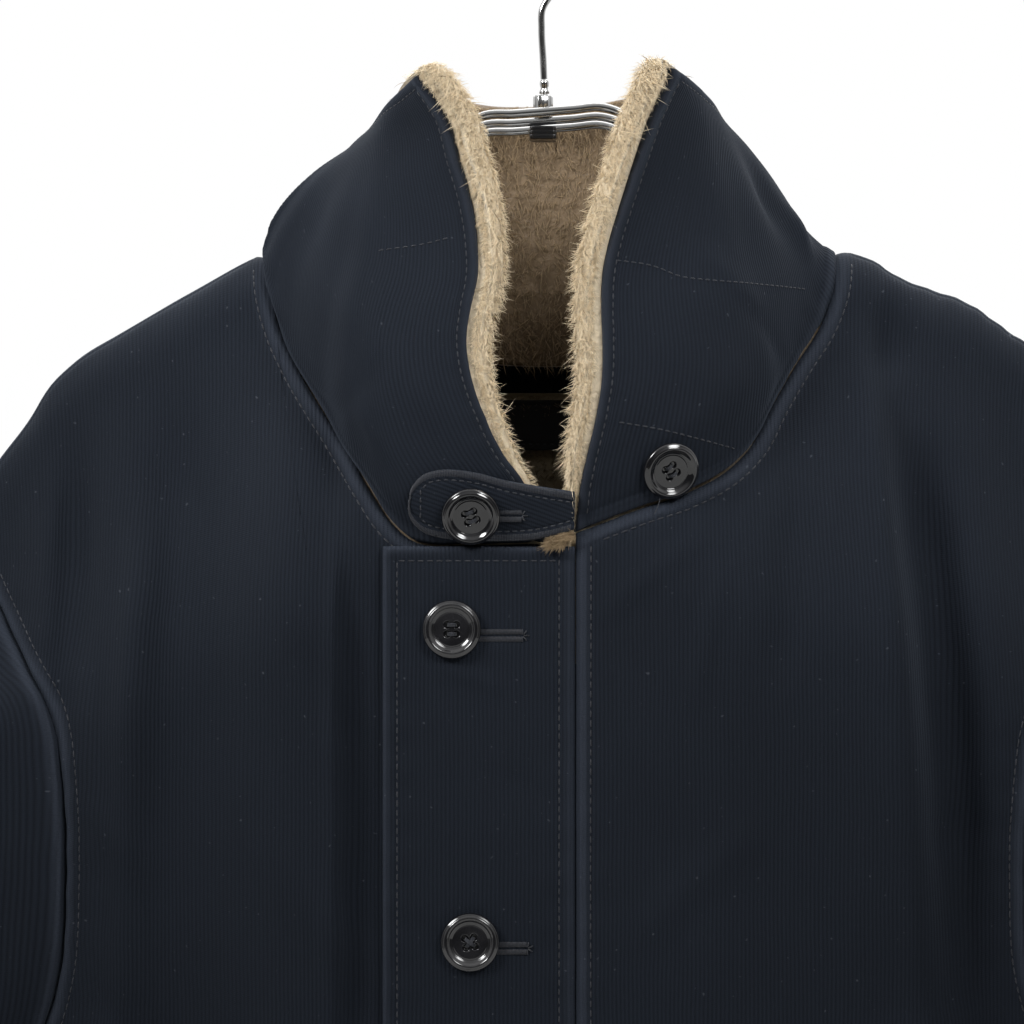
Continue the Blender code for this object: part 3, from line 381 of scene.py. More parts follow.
# Short creases of the collar and of the placket, as those of the fronts
COLLAR_CREASES = (
    (74, -168, 96, -196, 3.0, -1.0),
    (84, -176, 92, -226, 3.5, 0.9),
    (60, -150, 84, -176, 4.0, 0.8),
    (-60, -196, -92, -226, 5.0, -0.9),
    (-40, -222, -74, -176, 7.0, 0.8),
    (30, -236, 62, -214, 5.0, 0.6),
)
PLACKET_CREASES = (
    (-44, -312, -14, -322, 2.6, 0.9),
    (-40, -308, -8, -306, 3.0, 0.5),
    (-54, -284, -40, -296, 3.5, 0.6),
    (-44, -428, -14, -434, 3.0, 0.7),
    (-52, -402, -38, -414, 3.5, 0.5),
    (-20, -352, 4, -366, 5.0, -0.5),
)

# Rows of stitches across the collar: across and height, in mm
COLLAR_ROWS = (
    ("collar_right_upper", ((27, -157), (42, -159), (53, -163), (63, -164), (88, -165), (104, -165.5))),
    ("collar_right_lower", ((28, -219.5), (43, -222), (60, -226), (74, -229.5))),
    ("collar_left_upper", ((-65, -152.5), (-46, -150), (-37, -148))),
)


# Formulas

def ease(t):
    """0 below 0, 1 above 1, and a smooth rise between."""
    t = np.clip(t, 0.0, 1.0)
    return t * t * (3.0 - 2.0 * t)


def cubic(knots, values, t):
    """Values at t on a smooth curve that takes each value at its knot (cubic Hermite pieces)."""
    knots = np.asarray(knots, float)
    values = np.asarray(values, float)
    slopes = np.gradient(values, knots, axis=0)
    t = np.clip(t, knots[0], knots[-1])
    i = np.clip(np.searchsorted(knots, t, side="right") - 1, 0, len(knots) - 2)
    span = knots[i + 1] - knots[i]
    f = (t - knots[i]) / span
    if values.ndim > 1:
        f, span = f[..., None], span[..., None]
    start = ((2 * f - 3) * f * f + 1) * values[i] + ((f - 2) * f + 1) * f * span * slopes[i]
    end = (3 - 2 * f) * f * f * values[i + 1] + (f - 1) * f * f * span * slopes[i + 1]
    return start + end


def through(rows, t):
    """Points at t, a share of the chord length, on a smooth curve through the rows."""
    rows = np.asarray(rows, float)
    lengths = np.linalg.norm(np.diff(rows, axis=0), axis=1)
    knots = np.concatenate([[0.0], np.cumsum(lengths)]) / lengths.sum()
    return cubic(knots, rows, t)


def crowded(steps, power):
    """steps + 1 values from 0 to 1 that crowd towards 1."""
    return 1.0 - (1.0 - np.linspace(0.0, 1.0, steps + 1)) ** power


def both_ends(steps):
    """Shares from 0 to 1 that lie closer together at both ends."""
    even = np.linspace(0, 1, steps + 1)
    return 0.3 * even + 0.35 * (1 - np.cos(math.pi * even))


def column(table, index):
    """One column of a table in mm, in metres."""
    return np.array([row[index] for row in table], float) * MM


def normals(grid, wrap=False):
    """Unit normals of a grid: the cross product of its two steps at each point."""
    if wrap:
        along = np.roll(grid, -1, axis=0) - np.roll(grid, 1, axis=0)
    else:
        along = np.gradient(grid, axis=0)
    across = np.gradient(grid, axis=1)
    n = np.cross(along, across)
    return n / np.maximum(np.linalg.norm(n, axis=2, keepdims=True), 1e-12)


def unit(v):
    """The same vectors at length 1."""
    return v / np.linalg.norm(v, axis=-1, keepdims=True)


def across(seam, n, toward, wrap=False):
    """Directions that leave a seam square to it within the surface, on the side the given ones point to."""
    if wrap:
        tangent = np.roll(seam, -1, axis=0) - np.roll(seam, 1, axis=0)
    else:
        tangent = np.gradient(seam, axis=0)
    out = unit(np.cross(tangent, n))
    return out * np.sign((out * toward).sum())

def respaced(grid, start, end, count):
    """The grid with its lines along the second axis cut anew: at the start and end distances in mm from the
    two edges, and in count even steps between. Each point is on the cubic Hermite curve through its line."""
    steps = np.linalg.norm(np.diff(grid, axis=1), axis=2)
    run = np.concatenate([np.zeros((len(grid), 1)), np.cumsum(steps, axis=1)], axis=1)
    total = run[:, -1:]
    start, end = np.asarray(start) * MM, np.asarray(end) * MM
    even = np.linspace(0, 1, count + 1)
    between = start[-1] + (total - start[-1] - end[-1]) * even
    wanted = np.concatenate([start[:-1] + 0 * total, between, total - end[:-1][::-1]], axis=1)
    i = np.clip((run[:, None, :] <= wanted[:, :, None]).sum(axis=2) - 1, 0, run.shape[1] - 2)
    low, high = np.take_along_axis(run, i, 1), np.take_along_axis(run, i + 1, 1)
    f = ((wanted - low) / np.maximum(high - low, 1e-9))[..., None]
    slopes = np.gradient(grid, axis=1)
    near, far = i[..., None], i[..., None] + 1
    here, there = np.take_along_axis(grid, near, 1), np.take_along_axis(grid, far, 1)
    out, back = np.take_along_axis(slopes, near, 1), np.take_along_axis(slopes, far, 1)
    return (
        ((2 * f - 3) * f * f + 1) * here + ((f - 2) * f + 1) * f * out
        + (3 - 2 * f) * f * f * there + (f - 1) * f * f * back
    )


def turned(grid):
    """The grid with its two axes changed over."""
    return np.swapaxes(grid, 0, 1)


def from_edges(grid):
    """Distances of every point from the grid's four edges along its lines: first row, last row, first
    column and last column."""
    distances = []
    for axis in (0, 1):
        steps = np.linalg.norm(np.diff(grid, axis=axis), axis=2)
        pad = [(0, 0), (0, 0)]
        pad[axis] = (1, 0)
        run = np.pad(np.cumsum(steps, axis=axis), pad)
        distances += [run, np.take(run, [-1], axis=axis) - run]
    return distances


def nearest(points, curve):
    """Distance of every point from a curve: the least over its straight steps."""
    least = np.full(points.shape[:-1], 1.0)
    for start, end in zip(curve[:-1], curve[1:]):
        step = end - start
        t = np.clip(((points - start) @ step) / max(step @ step, 1e-12), 0, 1)
        least = np.minimum(least, np.linalg.norm(points - start - t[..., None] * step, axis=-1))
    return least


def bell(t, middle, half):
    """exp(-((t - middle) / half) squared)."""
    return np.exp(-(((t - middle) / half) ** 2))


def sewn(d, ridge, at=6.2 * MM):
    """Rise near a sewn edge: the cloth rolls down into the seam over the first millimetre, swells over the
    folded layers beneath and dips into the groove of the stitch row, at distance d from the seam."""
    roll = -0.8 * MM * np.exp(-d / (0.55 * MM))
    swell = ridge * ease(d / (1.6 * MM)) * ease((at + 1.2 * MM - d) / (1.7 * MM))
    return roll + swell - 0.45 * MM * bell(d, at, 0.75 * MM)


def rolled(d, thickness, at=3.9 * MM):
    """Rise near a turned edge: a quarter round of the half thickness at the very edge, and a shallow groove
    along the stitch row."""
    half = thickness / 2
    t = np.clip(d / (0.9 * half), 0, 1)
    return half * (np.sqrt(1 - (1 - t) ** 2) - 1) * 0.92 - 0.35 * MM * bell(d, at, 0.7 * MM)


def puckers(run, d, pitch, height, reach):
    """Small puckers across a stitch row: a sine of the run along it, uneven by a slower sine, which dies
    away at the reach from the row."""
    uneven = 0.6 + 0.4 * np.sin(run / (3.7 * pitch) + 1.3)
    return height * uneven * np.sin(2 * math.pi * run / pitch) * np.exp(-((d / reach) ** 2))


def creased(x, z, table):
    """Sum of short creases: each is a bell across the line between its two ends, faded towards both."""
    rise = np.zeros_like(x)
    for x1, z1, x2, z2, half, height in np.array(table) * MM:
        long = np.array([x2 - x1, z2 - z1])
        share = ((x - x1) * long[0] + (z - z1) * long[1]) / (long @ long)
        off = ((x - x1) * long[1] - (z - z1) * long[0]) / np.sqrt(long @ long)
        bow = 0.12 * np.sqrt(long @ long) * (share - 0.5) ** 2
        rise += height * np.exp(-(((off - bow) / half) ** 2) - ((share - 0.5) / 0.42) ** 4)
    return rise


def uneven(points, seed, size):
    """A smooth uneven value about 0 at each point: eight sines of seeded directions, with wave lengths
    about the size."""
    rng = np.random.default_rng(seed)
    waves = rng.normal(size=(8, 3))
    waves = unit(waves) * 2 * math.pi / (size * rng.uniform(0.7, 1.6, (8, 1)))
    return np.sin(points @ waves.T + rng.uniform(0, 6.28, 8)).mean(axis=-1) * 1.4


# Meshes

def add_mesh(name, points, faces, material, uv=None, attributes=None, replaces=()):
    """A finished piece from arrays: points, faces of equal length, a UV pair for each face corner and named
    values for each point. It rides on the jacket's one body."""
    mesh = bpy.data.meshes.new(name)
    faces = np.asarray(faces)
    mesh.vertices.add(len(points))
    mesh.vertices.foreach_set("co", np.asarray(points, np.float32).ravel())
    mesh.loops.add(faces.size)
    mesh.loops.foreach_set("vertex_index", faces.ravel().astype(np.int32))
    mesh.polygons.add(len(faces))
    mesh.polygons.foreach_set("loop_start", np.arange(0, faces.size, faces.shape[1], dtype=np.int32))
    mesh.polygons.foreach_set("use_smooth", np.ones(len(faces), bool))
    if uv is not None:
        mesh.uv_layers.new(name="cloth").data.foreach_set("uv", np.asarray(uv, np.float32).ravel())
    for key, values in (attributes or {}).items():
        layer = mesh.attributes.new(key, "FLOAT", "POINT")
        layer.data.foreach_set("value", np.asarray(values, np.float32).ravel())
    mesh.update(calc_edges=True)
    if mesh.validate():
        raise RuntimeError(f"{name} has faces that aren't valid")
    mesh.materials.append(material)
    piece = bpy.data.objects.new(name, mesh)
    bpy.context.scene.collection.objects.link(piece)
    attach(piece, "root")
    if replaces:
        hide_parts(*replaces)
    return piece


def quads(index):
    """Quads of a grid of point numbers."""
    return np.stack([index[:-1, :-1], index[1:, :-1], index[1:, 1:], index[:-1, 1:]], axis=-1).reshape(-1, 4)


def wall(outer, inner, out, uv, wrap=False):
    """Closed wall between two grids: points, quads that face outwards, and the UV of each corner. With wrap
    the last row meets the first again. out is a rough outward direction at each point of the outer grid."""
    if wrap:
        outer, inner = (np.concatenate([g, g[:1]]) for g in (outer, inner))
        out = np.concatenate([out, out[:1]])
    rows, cols = outer.shape[:2]
    index = np.arange(rows * cols).reshape(rows, cols)
    lower = index + rows * cols
    strips = [(index[:, -1], lower[:, -1]), (index[::-1, 0], lower[::-1, 0])]
    if not wrap:
        strips += [(index[-1, ::-1], lower[-1, ::-1]), (index[0], lower[0])]
    rims = [np.stack([a[:-1], a[1:], b[1:], b[:-1]], axis=1) for a, b in strips]
    faces = np.concatenate([quads(index), quads(lower)[:, ::-1]] + rims)
    facing = np.cross(np.gradient(outer, axis=0), np.gradient(outer, axis=1))
    if (facing * out).sum() < 0:
        faces = faces[:, ::-1]
    both_uv = np.concatenate([uv.reshape(-1, 2), uv.reshape(-1, 2)])
    corners = both_uv[faces]
    points = np.concatenate([outer.reshape(-1, 3), inner.reshape(-1, 3)])
    if wrap:
        period = 2 * math.pi * SLEEVE_RADIUS
        corners[..., 0] -= np.round((corners[..., 0] - corners[:, :1, 0]) / period) * period
        keep = np.arange(len(points)).reshape(2, rows, cols)
        keep[:, -1] = keep[:, 0]
        used, number = np.unique(keep.ravel(), return_inverse=True)
        faces = number[faces]
        points = points[used]
        return points, faces, corners, used
    return points, faces, corners, np.arange(len(points))


def cloth_piece(name, outer, inner, out, uv, wear, material, wrap=False, replaces=None):
    """A cloth wall as a finished piece, with its wear as a value on each point."""
    if wrap:
        worn = np.concatenate([wear, wear[:1]])
    else:
        worn = wear
    points, faces, corners, used = wall(outer, inner, out, uv, wrap)
    values = np.concatenate([worn.ravel(), worn.ravel()])[used]
    return add_mesh(name, points, faces, material, corners, {"wear": values * 0.4}, (replaces or name,))


def tube(path, radius, sides, squash=1.0, up=(0.0, 1.0, 0.0)):
    """Round tube along a path: a circle of the radius, which may differ along it, set square to the path at
    each point, with both ends closed by a point."""
    path = np.asarray(path, float)
    radius = np.broadcast_to(radius, len(path))
    along = unit(np.gradient(path, axis=0))
    first = unit(np.cross(along, np.asarray(up, float)))
    second = np.cross(along, first)
    angle = np.linspace(0, 2 * math.pi, sides, endpoint=False)
    ring = np.cos(angle)[None, :, None] * first[:, None] + squash * np.sin(angle)[None, :, None] * second[:, None]
    points = path[:, None] + ring * radius[:, None, None]
    return capped(points)


def capped(points):
    """Points and triangles of a closed tube of rings, with a point in the middle of each end."""
    rings, sides = points.shape[:2]
    index = np.arange(rings * sides).reshape(rings, sides)
    ahead = np.roll(index, -1, axis=1)
    a, b, c, d = index[:-1], ahead[:-1], ahead[1:], index[1:]
    body = np.concatenate([np.stack([a, b, c], -1).reshape(-1, 3), np.stack([a, c, d], -1).reshape(-1, 3)])
    low, high = rings * sides, rings * sides + 1
    start = np.stack([np.full(sides, low), ahead[0], index[0]], -1)
    end = np.stack([np.full(sides, high), index[-1], ahead[-1]], -1)
    ends = np.stack([points[0].mean(axis=0), points[-1].mean(axis=0)])
    return np.concatenate([points.reshape(-1, 3), ends]), np.concatenate([body, start, end])


def joined(parts):
    """Several (points, faces) as one."""
    sizes = np.cumsum([0] + [len(p) for p, _ in parts[:-1]])
    return np.concatenate([p for p, _ in parts]), np.concatenate([f + s for (_, f), s in zip(parts, sizes)])


def outwards(points, faces):
    """The faces, turned over where the mesh's signed volume is negative."""
    a, b, c = (points[faces[:, k]] for k in range(3))
    return faces if (np.cross(a, b) * c).sum() > 0 else faces[:, ::-1]


def spun(profile, sides):
    """Solid of revolution about Z: a profile of (radius, height) carried round, with closed poles."""
    profile = np.asarray(profile, float)
    angle = np.linspace(0, 2 * math.pi, sides, endpoint=False)
    rings = np.stack([
        profile[:, :1] * np.cos(angle), profile[:, :1] * np.sin(angle), profile[:, 1:] + 0 * angle
    ], axis=-1)
    points, faces = capped(rings)
    return points, outwards(points, faces)


def dashes(path, out, length, gap, radius, lift=0.0):
    """Stitches along a path: spindles of six points, each a stitch long and a gap apart, lying on the side
    that out gives. All are made at once from the path's own run of length."""
    path, out = np.asarray(path, float), np.asarray(out, float)
    run = np.concatenate([[0], np.cumsum(np.linalg.norm(np.diff(path, axis=0), axis=1))])
    count = max(int((run[-1] - gap) / (length + gap)), 1)
    middle = (np.arange(count) + 0.5) * run[-1] / count
    at = [np.stack([np.interp(middle + d, run, path[:, k]) for k in range(3)], -1)
          for d in (-length / 2, -length / 4, length / 4, length / 2)]
    face = unit(np.stack([np.interp(middle, run, out[:, k]) for k in range(3)], -1))
    along = unit(at[3] - at[0])
    side = np.cross(along, face)
    angle = np.linspace(0, 2 * math.pi, 6, endpoint=False)[:, None, None]
    ring = np.cos(angle) * side + np.sin(angle) * face
    rows = [at[0][None] + ring * 0.35 * radius - face * radius]
    rows += [p[None] + ring * radius + face * lift for p in at[1:3]]
    rows += [at[3][None] + ring * 0.35 * radius - face * radius]
    points = np.stack(rows, axis=0).transpose(2, 0, 1, 3)
    rings, sides = points.shape[1:3]
    local = np.arange(rings * sides).reshape(rings, sides)
    ahead = np.roll(local, -1, axis=1)
    body = np.stack([local[:-1], ahead[:-1], ahead[1:], local[1:]], -1).reshape(-1, 4)
    body = np.concatenate([body[:, [0, 1, 2]], body[:, [0, 2, 3]]])
    fan = np.array([[0, k, k + 1] for k in range(1, sides - 1)])
    faces = np.concatenate([body, local[0][fan][:, ::-1], local[-1][fan]])
    faces = outwards(points[0].reshape(-1, 3) - points[0].mean(axis=(0, 1)), faces)
    number = np.arange(count)[:, None, None] * rings * sides
    return points.reshape(-1, 3), (faces[None] + number).reshape(-1, 3)


def ray_tree(grid):
    """Search tree over a grid, for finding what lies in front at a place."""
    index = np.arange(grid.shape[0] * grid.shape[1]).reshape(grid.shape[:2])
    return BVHTree.FromPolygons(grid.reshape(-1, 3).tolist(), quads(index).tolist())


def seen_at(tree, x, z, ahead=-1.0):
    """The first point and its normal that a level line from the front meets at x and z."""
    toward = Vector((0.0, -math.copysign(1.0, ahead), 0.0))
    point, normal, _, _ = tree.ray_cast(Vector((x, ahead, z)), toward)
    if point is None:
        point, normal, _, _ = tree.find_nearest(Vector((x, 0.03 * ahead, z)))
    if normal.dot(toward) > 0:
        normal = -normal
    return np.array(point), np.array(normal)


def traced(tree, spots, count):
    """Points and normals of a surface under a smooth line through spots of (across, height) in mm."""
    line = through(np.array(spots, float) * MM, np.linspace(0, 1, count))
    found = [seen_at(tree, x, z) for x, z in line]
    return np.array([p for p, _ in found]), np.array([n for _, n in found])


# The jacket's shape, as in the CAD source

def shoulder_line(x):
    """Height of the top of the jacket over x."""
    out = column(SHOULDER_LINE, 0)
    left = cubic(out, column(SHOULDER_LINE, 1), np.abs(x))
    right = cubic(out, column(SHOULDER_LINE, 2), np.abs(x))
    return np.where(x < 0, left, right)


def half_width(z):
    """Half width of the body at a height."""
    return HALF_CHEST + (HALF_HEM - HALF_CHEST) * ease((UNDERARM_HEIGHT - z) / (UNDERARM_HEIGHT - HEM_HEIGHT))


def fold_rise(x, z, table):
    """Sum of the folds: each is a bell across, whose middle runs from its top to its foot."""
    rise = np.zeros_like(x)
    for x_top, z_top, x_foot, z_foot, half, height in np.array(table) * MM:
        run = (z_top - z) / (z_top - z_foot)
        middle = x_top + (x_foot - x_top) * run
        width = half * (0.5 + 0.5 * ease(run * 2.5))
        start = ease((z_top - z) / (60 * MM) if z_foot == HEM_HEIGHT else run * 3.0)
        stop = 1.0 if z_foot == HEM_HEIGHT else ease((1.0 - run) * 3.0)
        rise += height * start * stop * np.exp(-(((x - middle) / width) ** 2))
    return rise


def body_depth(x, z, front):
    """Y of the jacket's outer face: round over the shoulder, deepest at the chest, round at the sides."""
    below = np.maximum(shoulder_line(x) - z, 0.0)
    crest = CREST_HALF * np.sqrt(np.maximum(1.0 - (1.0 - np.minimum(below / CREST_DROP, 1.0)) ** 2, 0.0))
    full, run, folds = (FRONT_DEPTH, FRONT_RUN, FRONT_FOLDS) if front else (BACK_DEPTH, BACK_RUN, BACK_FOLDS)
    depth = crest + (full - CREST_HALF) * ease(below / run)
    side = np.sqrt(np.maximum(1.0 - np.minimum(np.abs(x) / half_width(z), 1.0) ** SIDE_ROUNDNESS, 0.0))
    folded = fold_rise(x, z, folds) * ease(below / (30 * MM)) * side
    y = depth * side + folded
    return -y if front else y


def front_depth(x, z):
    """Y of a front's outer face. The left front sinks under the placket that lies on it."""
    y = body_depth(x, z, front=True)
    step = (x - PLACKET_LEFT + UNDERLAP_STEP_START) / UNDERLAP_STEP_WIDTH
    under = ease(step) * (x < (UNDERLAP_EDGE + OVERLAP_SEAM) / 2)
    return y + (placket_depth(x, z) + UNDERLAP_SINK - y) * under


def placket_depth(x, z):
    """Y of the placket's outer face: flush with the right front at their seam, and flat across."""
    return body_depth(np.full_like(x, OVERLAP_SEAM), z, front=True)


def side_edge(side, armhole, steps_side, steps_armhole):
    """Side seam from the hem up to the underarm, then the armhole up to the shoulder point, as x and z."""
    z = np.linspace(HEM_HEIGHT, UNDERARM_HEIGHT, steps_side + 1)
    seam = np.stack([side * half_width(z), z], axis=1)
    rows = np.array(armhole, float) * MM
    rows[0, 1] = shoulder_line(np.array([side * HALF_CHEST]))[0]
    hole = through(rows[::-1], both_ends(steps_armhole)) * [side, 1]
    return np.concatenate([seam, hole[1:]])


def raised(plan, front):
    """Adds the depth to a grid of x and z. Seams of the shoulder and side stand half a gap from the middle."""
    x, z = plan[..., 0], plan[..., 1]
    y = front_depth(x, z) if front else body_depth(x, z, front=False)
    half_gap = SEAM_GAP / 2
    y = np.minimum(y, -half_gap) if front else np.maximum(y, half_gap)
    return np.stack([plan[..., 0], y, plan[..., 1]], axis=-1)


def front_grid(side):
    """Outer face of one front as a grid: columns from the middle to the side, rows from the hem up."""
    neck = np.array(NECK_LEFT if side < 0 else NECK_RIGHT, float) * MM
    neckline = through(neck, np.linspace(0, 1, NECK_STEPS + 1))
    reach = abs(neck[-1, 0]) + (HALF_CHEST - abs(neck[-1, 0])) * crowded(SHOULDER_STEPS, 1.3)[1:]
    shoulder = np.stack([side * reach, shoulder_line(side * reach)], axis=1)
    top = np.concatenate([neckline, shoulder])
    edge = side_edge(side, ARMHOLE_FRONT, SIDE_STEPS, ARMHOLE_STEPS)
    middle_x = neck[0, 0]
    spread = np.concatenate([np.linspace(0, 0.46, NECK_STEPS + 1), 0.46 + 0.54 * crowded(SHOULDER_STEPS, EDGE_CROWDING)[1:]])
    foot = np.stack([middle_x + (edge[0, 0] - middle_x) * spread, np.full(len(spread), HEM_HEIGHT)], axis=1)
    lower = np.linspace(0, 0.6, SIDE_STEPS + 1)
    upper = 0.6 + 0.4 * both_ends(ARMHOLE_STEPS)[1:]
    share = np.concatenate([lower, upper])
    middle = np.stack([np.full(len(share), middle_x), HEM_HEIGHT + (top[0, 1] - HEM_HEIGHT) * share], axis=1)
    return raised(between_edges(foot, top, middle, edge, spread, share), front=True)


def between_edges(foot, top, left, right, s, t):
    """Grid between four edges, with the shares along both. The top edge's bends die away quickly below it."""
    s = np.asarray(s)[:, None, None]
    t = np.asarray(t)[None, :, None] ** TOP_FADE
    ruled = (1 - t) * foot[:, None] + t * top[:, None] + (1 - s) * left[None] + s * right[None]
    corners = (1 - s) * (1 - t) * foot[0] + s * (1 - t) * foot[-1] + (1 - s) * t * top[0] + s * t * top[-1]
    return ruled - corners


def back_grid():
    """Outer face of the back as a grid: columns from left to right, rows from the hem up."""
    neck = np.array(NECK_BACK, float) * MM
    neckline = through(neck, np.linspace(0, 1, BACK_NECK_STEPS + 1))
    shoulders = []
    for side, inner in ((-1, abs(neck[0, 0])), (1, neck[-1, 0])):
        reach = inner + (HALF_CHEST - inner) * crowded(SHOULDER_STEPS, 1.3)[1:]
        shoulders.append(np.stack([side * reach, shoulder_line(side * reach)], axis=1))
    top = np.concatenate([shoulders[0][::-1], neckline, shoulders[1]])
    left = side_edge(-1, ARMHOLE_BACK, SIDE_STEPS, ARMHOLE_STEPS)
    right = side_edge(1, ARMHOLE_BACK, SIDE_STEPS, ARMHOLE_STEPS)
    outer = 0.5 * (1 - 0.50 * np.linspace(0, 1, BACK_NECK_STEPS // 2 + 1)[-1])
    half_shoulder = outer * (1 - crowded(SHOULDER_STEPS, EDGE_CROWDING)[::-1])
    inner = np.linspace(outer, 1 - outer, BACK_NECK_STEPS + 1)
    spread = np.concatenate([half_shoulder[:-1], inner, 1 - half_shoulder[::-1][1:]])
    foot = np.stack([left[0, 0] + (right[0, 0] - left[0, 0]) * spread, np.full(len(spread), HEM_HEIGHT)], axis=1)
    share = np.concatenate([np.linspace(0, 0.6, SIDE_STEPS + 1), 0.6 + 0.4 * both_ends(ARMHOLE_STEPS)[1:]])
    return raised(between_edges(foot, top, left, right, spread, share), front=False)


def body_normals(grid, front, edge_columns, top_columns):
    """Outward normals of a body panel. Along the side and shoulder seams they lie in the seam's own plane."""
    n = normals(grid)
    wanted = -1.0 if front else 1.0
    n *= wanted * np.sign(n[len(n) // 2, 5, 1])
    for i in edge_columns:
        n[i, : SIDE_STEPS + 1, 1] = 0.0
        n[i, -1, 1] = 0.0
    n[top_columns, -1, 1] = 0.0
    return unit(n)


def body_panels():
    """Outer faces and normals of the two fronts and the back."""
    fronts = {}
    for side in (-1, 1):
        grid = front_grid(side)
        n = body_normals(grid, True, (-1,), slice(NECK_STEPS + 1, None))
        if side > 0:
            n[0, :, 0] = 0.0
            n = unit(n)
        fronts[side] = (grid, n)
    grid = back_grid()
    n = body_normals(grid, False, (0, -1), np.r_[0:SHOULDER_STEPS, -SHOULDER_STEPS:0])
    return fronts, (grid, n)


def sleeve_grid(side, front, back):
    """Outer face of a sleeve: rings from the armhole to the cuff, each from the top round the front and back."""
    start = SIDE_STEPS
    front_hole = front[0][-1, start:][::-1]
    back_column = 0 if side < 0 else -1
    back_hole = back[0][back_column, start:]
    ring = np.concatenate([front_hole, back_hole[1:-1]])
    angle = np.concatenate([
        np.linspace(0, math.pi, len(front_hole)),
        np.linspace(math.pi, 2 * math.pi, len(back_hole))[1:-1],
    ])
    lengths = np.linalg.norm(np.diff(front_hole, axis=0), axis=1)
    angle[: len(front_hole)] = np.concatenate([[0], np.cumsum(lengths)]) / lengths.sum() * math.pi
    lengths = np.linalg.norm(np.diff(back_hole, axis=0), axis=1)
    angle[len(front_hole):] = math.pi + (np.cumsum(lengths) / lengths.sum() * math.pi)[:-1]
    edge_front = unit(front[0][-1, start:] - front[0][-2, start:])[::-1]
    edge_back = unit(back[0][back_column, start:] - back[0][back_column - side, start:])
    panel_edge = np.concatenate([edge_front, edge_back[1:-1]])
    panel_out = np.concatenate([front[1][-1, start:][::-1], back[1][back_column, start:][1:-1]])
    seam_out = across(ring, panel_out, panel_edge, wrap=True)
    low = (1 - np.cos(angle))[:, None] / 2
    turn = ease(low * 1.3 - 0.15) * math.pi / 2
    away = np.cos(turn) * seam_out + np.sin(turn) * panel_out
    ring = ring + SEAM_GAP * (seam_out + np.sin(turn) * panel_out)
    ring[[0, len(front_hole) - 1], 1] = 0.0
    rings = [ring]
    for x_in, z_in, x_out, z_out, deep_front, deep_back, left_armhole in np.array(SLEEVE_RINGS):
        inner = np.array([side * x_in, 0.0, z_in]) * MM
        outer = np.array([side * x_out, 0.0, z_out + (9 if side > 0 else -8) * max(0.0, 1 - (236 - x_out) / -40)]) * MM
        middle = (inner + outer) / 2
        half = (outer - inner) / 2
        depth = np.where(np.sin(angle) > 0, -deep_front, deep_back) * MM * np.abs(np.sin(angle)) ** 0.85
        along = np.sign(np.cos(angle)) * np.abs(np.cos(angle)) ** 0.9
        oval = middle + along[:, None] * half + np.stack([0 * depth, depth, 0 * depth], axis=1)
        lift = max(0.0, 1.0 - (left_armhole - SLEEVE_RINGS[0][6]) * 2.0)
        rings.append(ring + (oval - ring) * left_armhole + away * SLEEVE_LIFT * lift)
    rings = np.stack(rings, axis=0)
    place = np.linspace(0, len(rings) - 1, SLEEVE_STEPS + 1)
    fine = cubic(np.arange(len(rings)), rings.reshape(len(rings), -1), place)
    return add_sleeve_folds(turned(fine.reshape(len(place), -1, 3)), angle, side, place)


def add_sleeve_folds(grid, angle, side, ring_number):
    """Raises and sinks the slanting creases of a sleeve, most on its front and outer faces."""
    z_out, z_in, half, rise = (column(SLEEVE_FOLDS, k) for k in range(4))
    outward = np.stack([side * np.cos(angle), -np.sin(angle), 0 * angle], axis=1)[:, None, :]
    amount = np.zeros(grid.shape[:2])
    share_in = (1 - np.cos(angle))[:, None] / 2
    for k in range(len(half)):
        middle = z_out[k] + (z_in[k] - z_out[k]) * share_in
        amount += rise[k] * np.exp(-(((grid[..., 2] - middle) / half[k]) ** 2))
    amount *= (1 - share_in ** 2) * np.clip(ring_number - 2, 0, 3)[None, :] / 3
    return grid + outward * amount[..., None]


def neck_ring(fronts, back):
    """The neck seam from the left front edge round the back to the right front edge: points and normals."""
    left, right = fronts[-1], fronts[1]
    rear = slice(SHOULDER_STEPS + 1, -SHOULDER_STEPS - 1)
    return [
        np.concatenate([left[k][: NECK_STEPS + 1, -1], back[k][rear, -1], right[k][: NECK_STEPS + 1, -1][::-1]])
        for k in range(2)
    ]


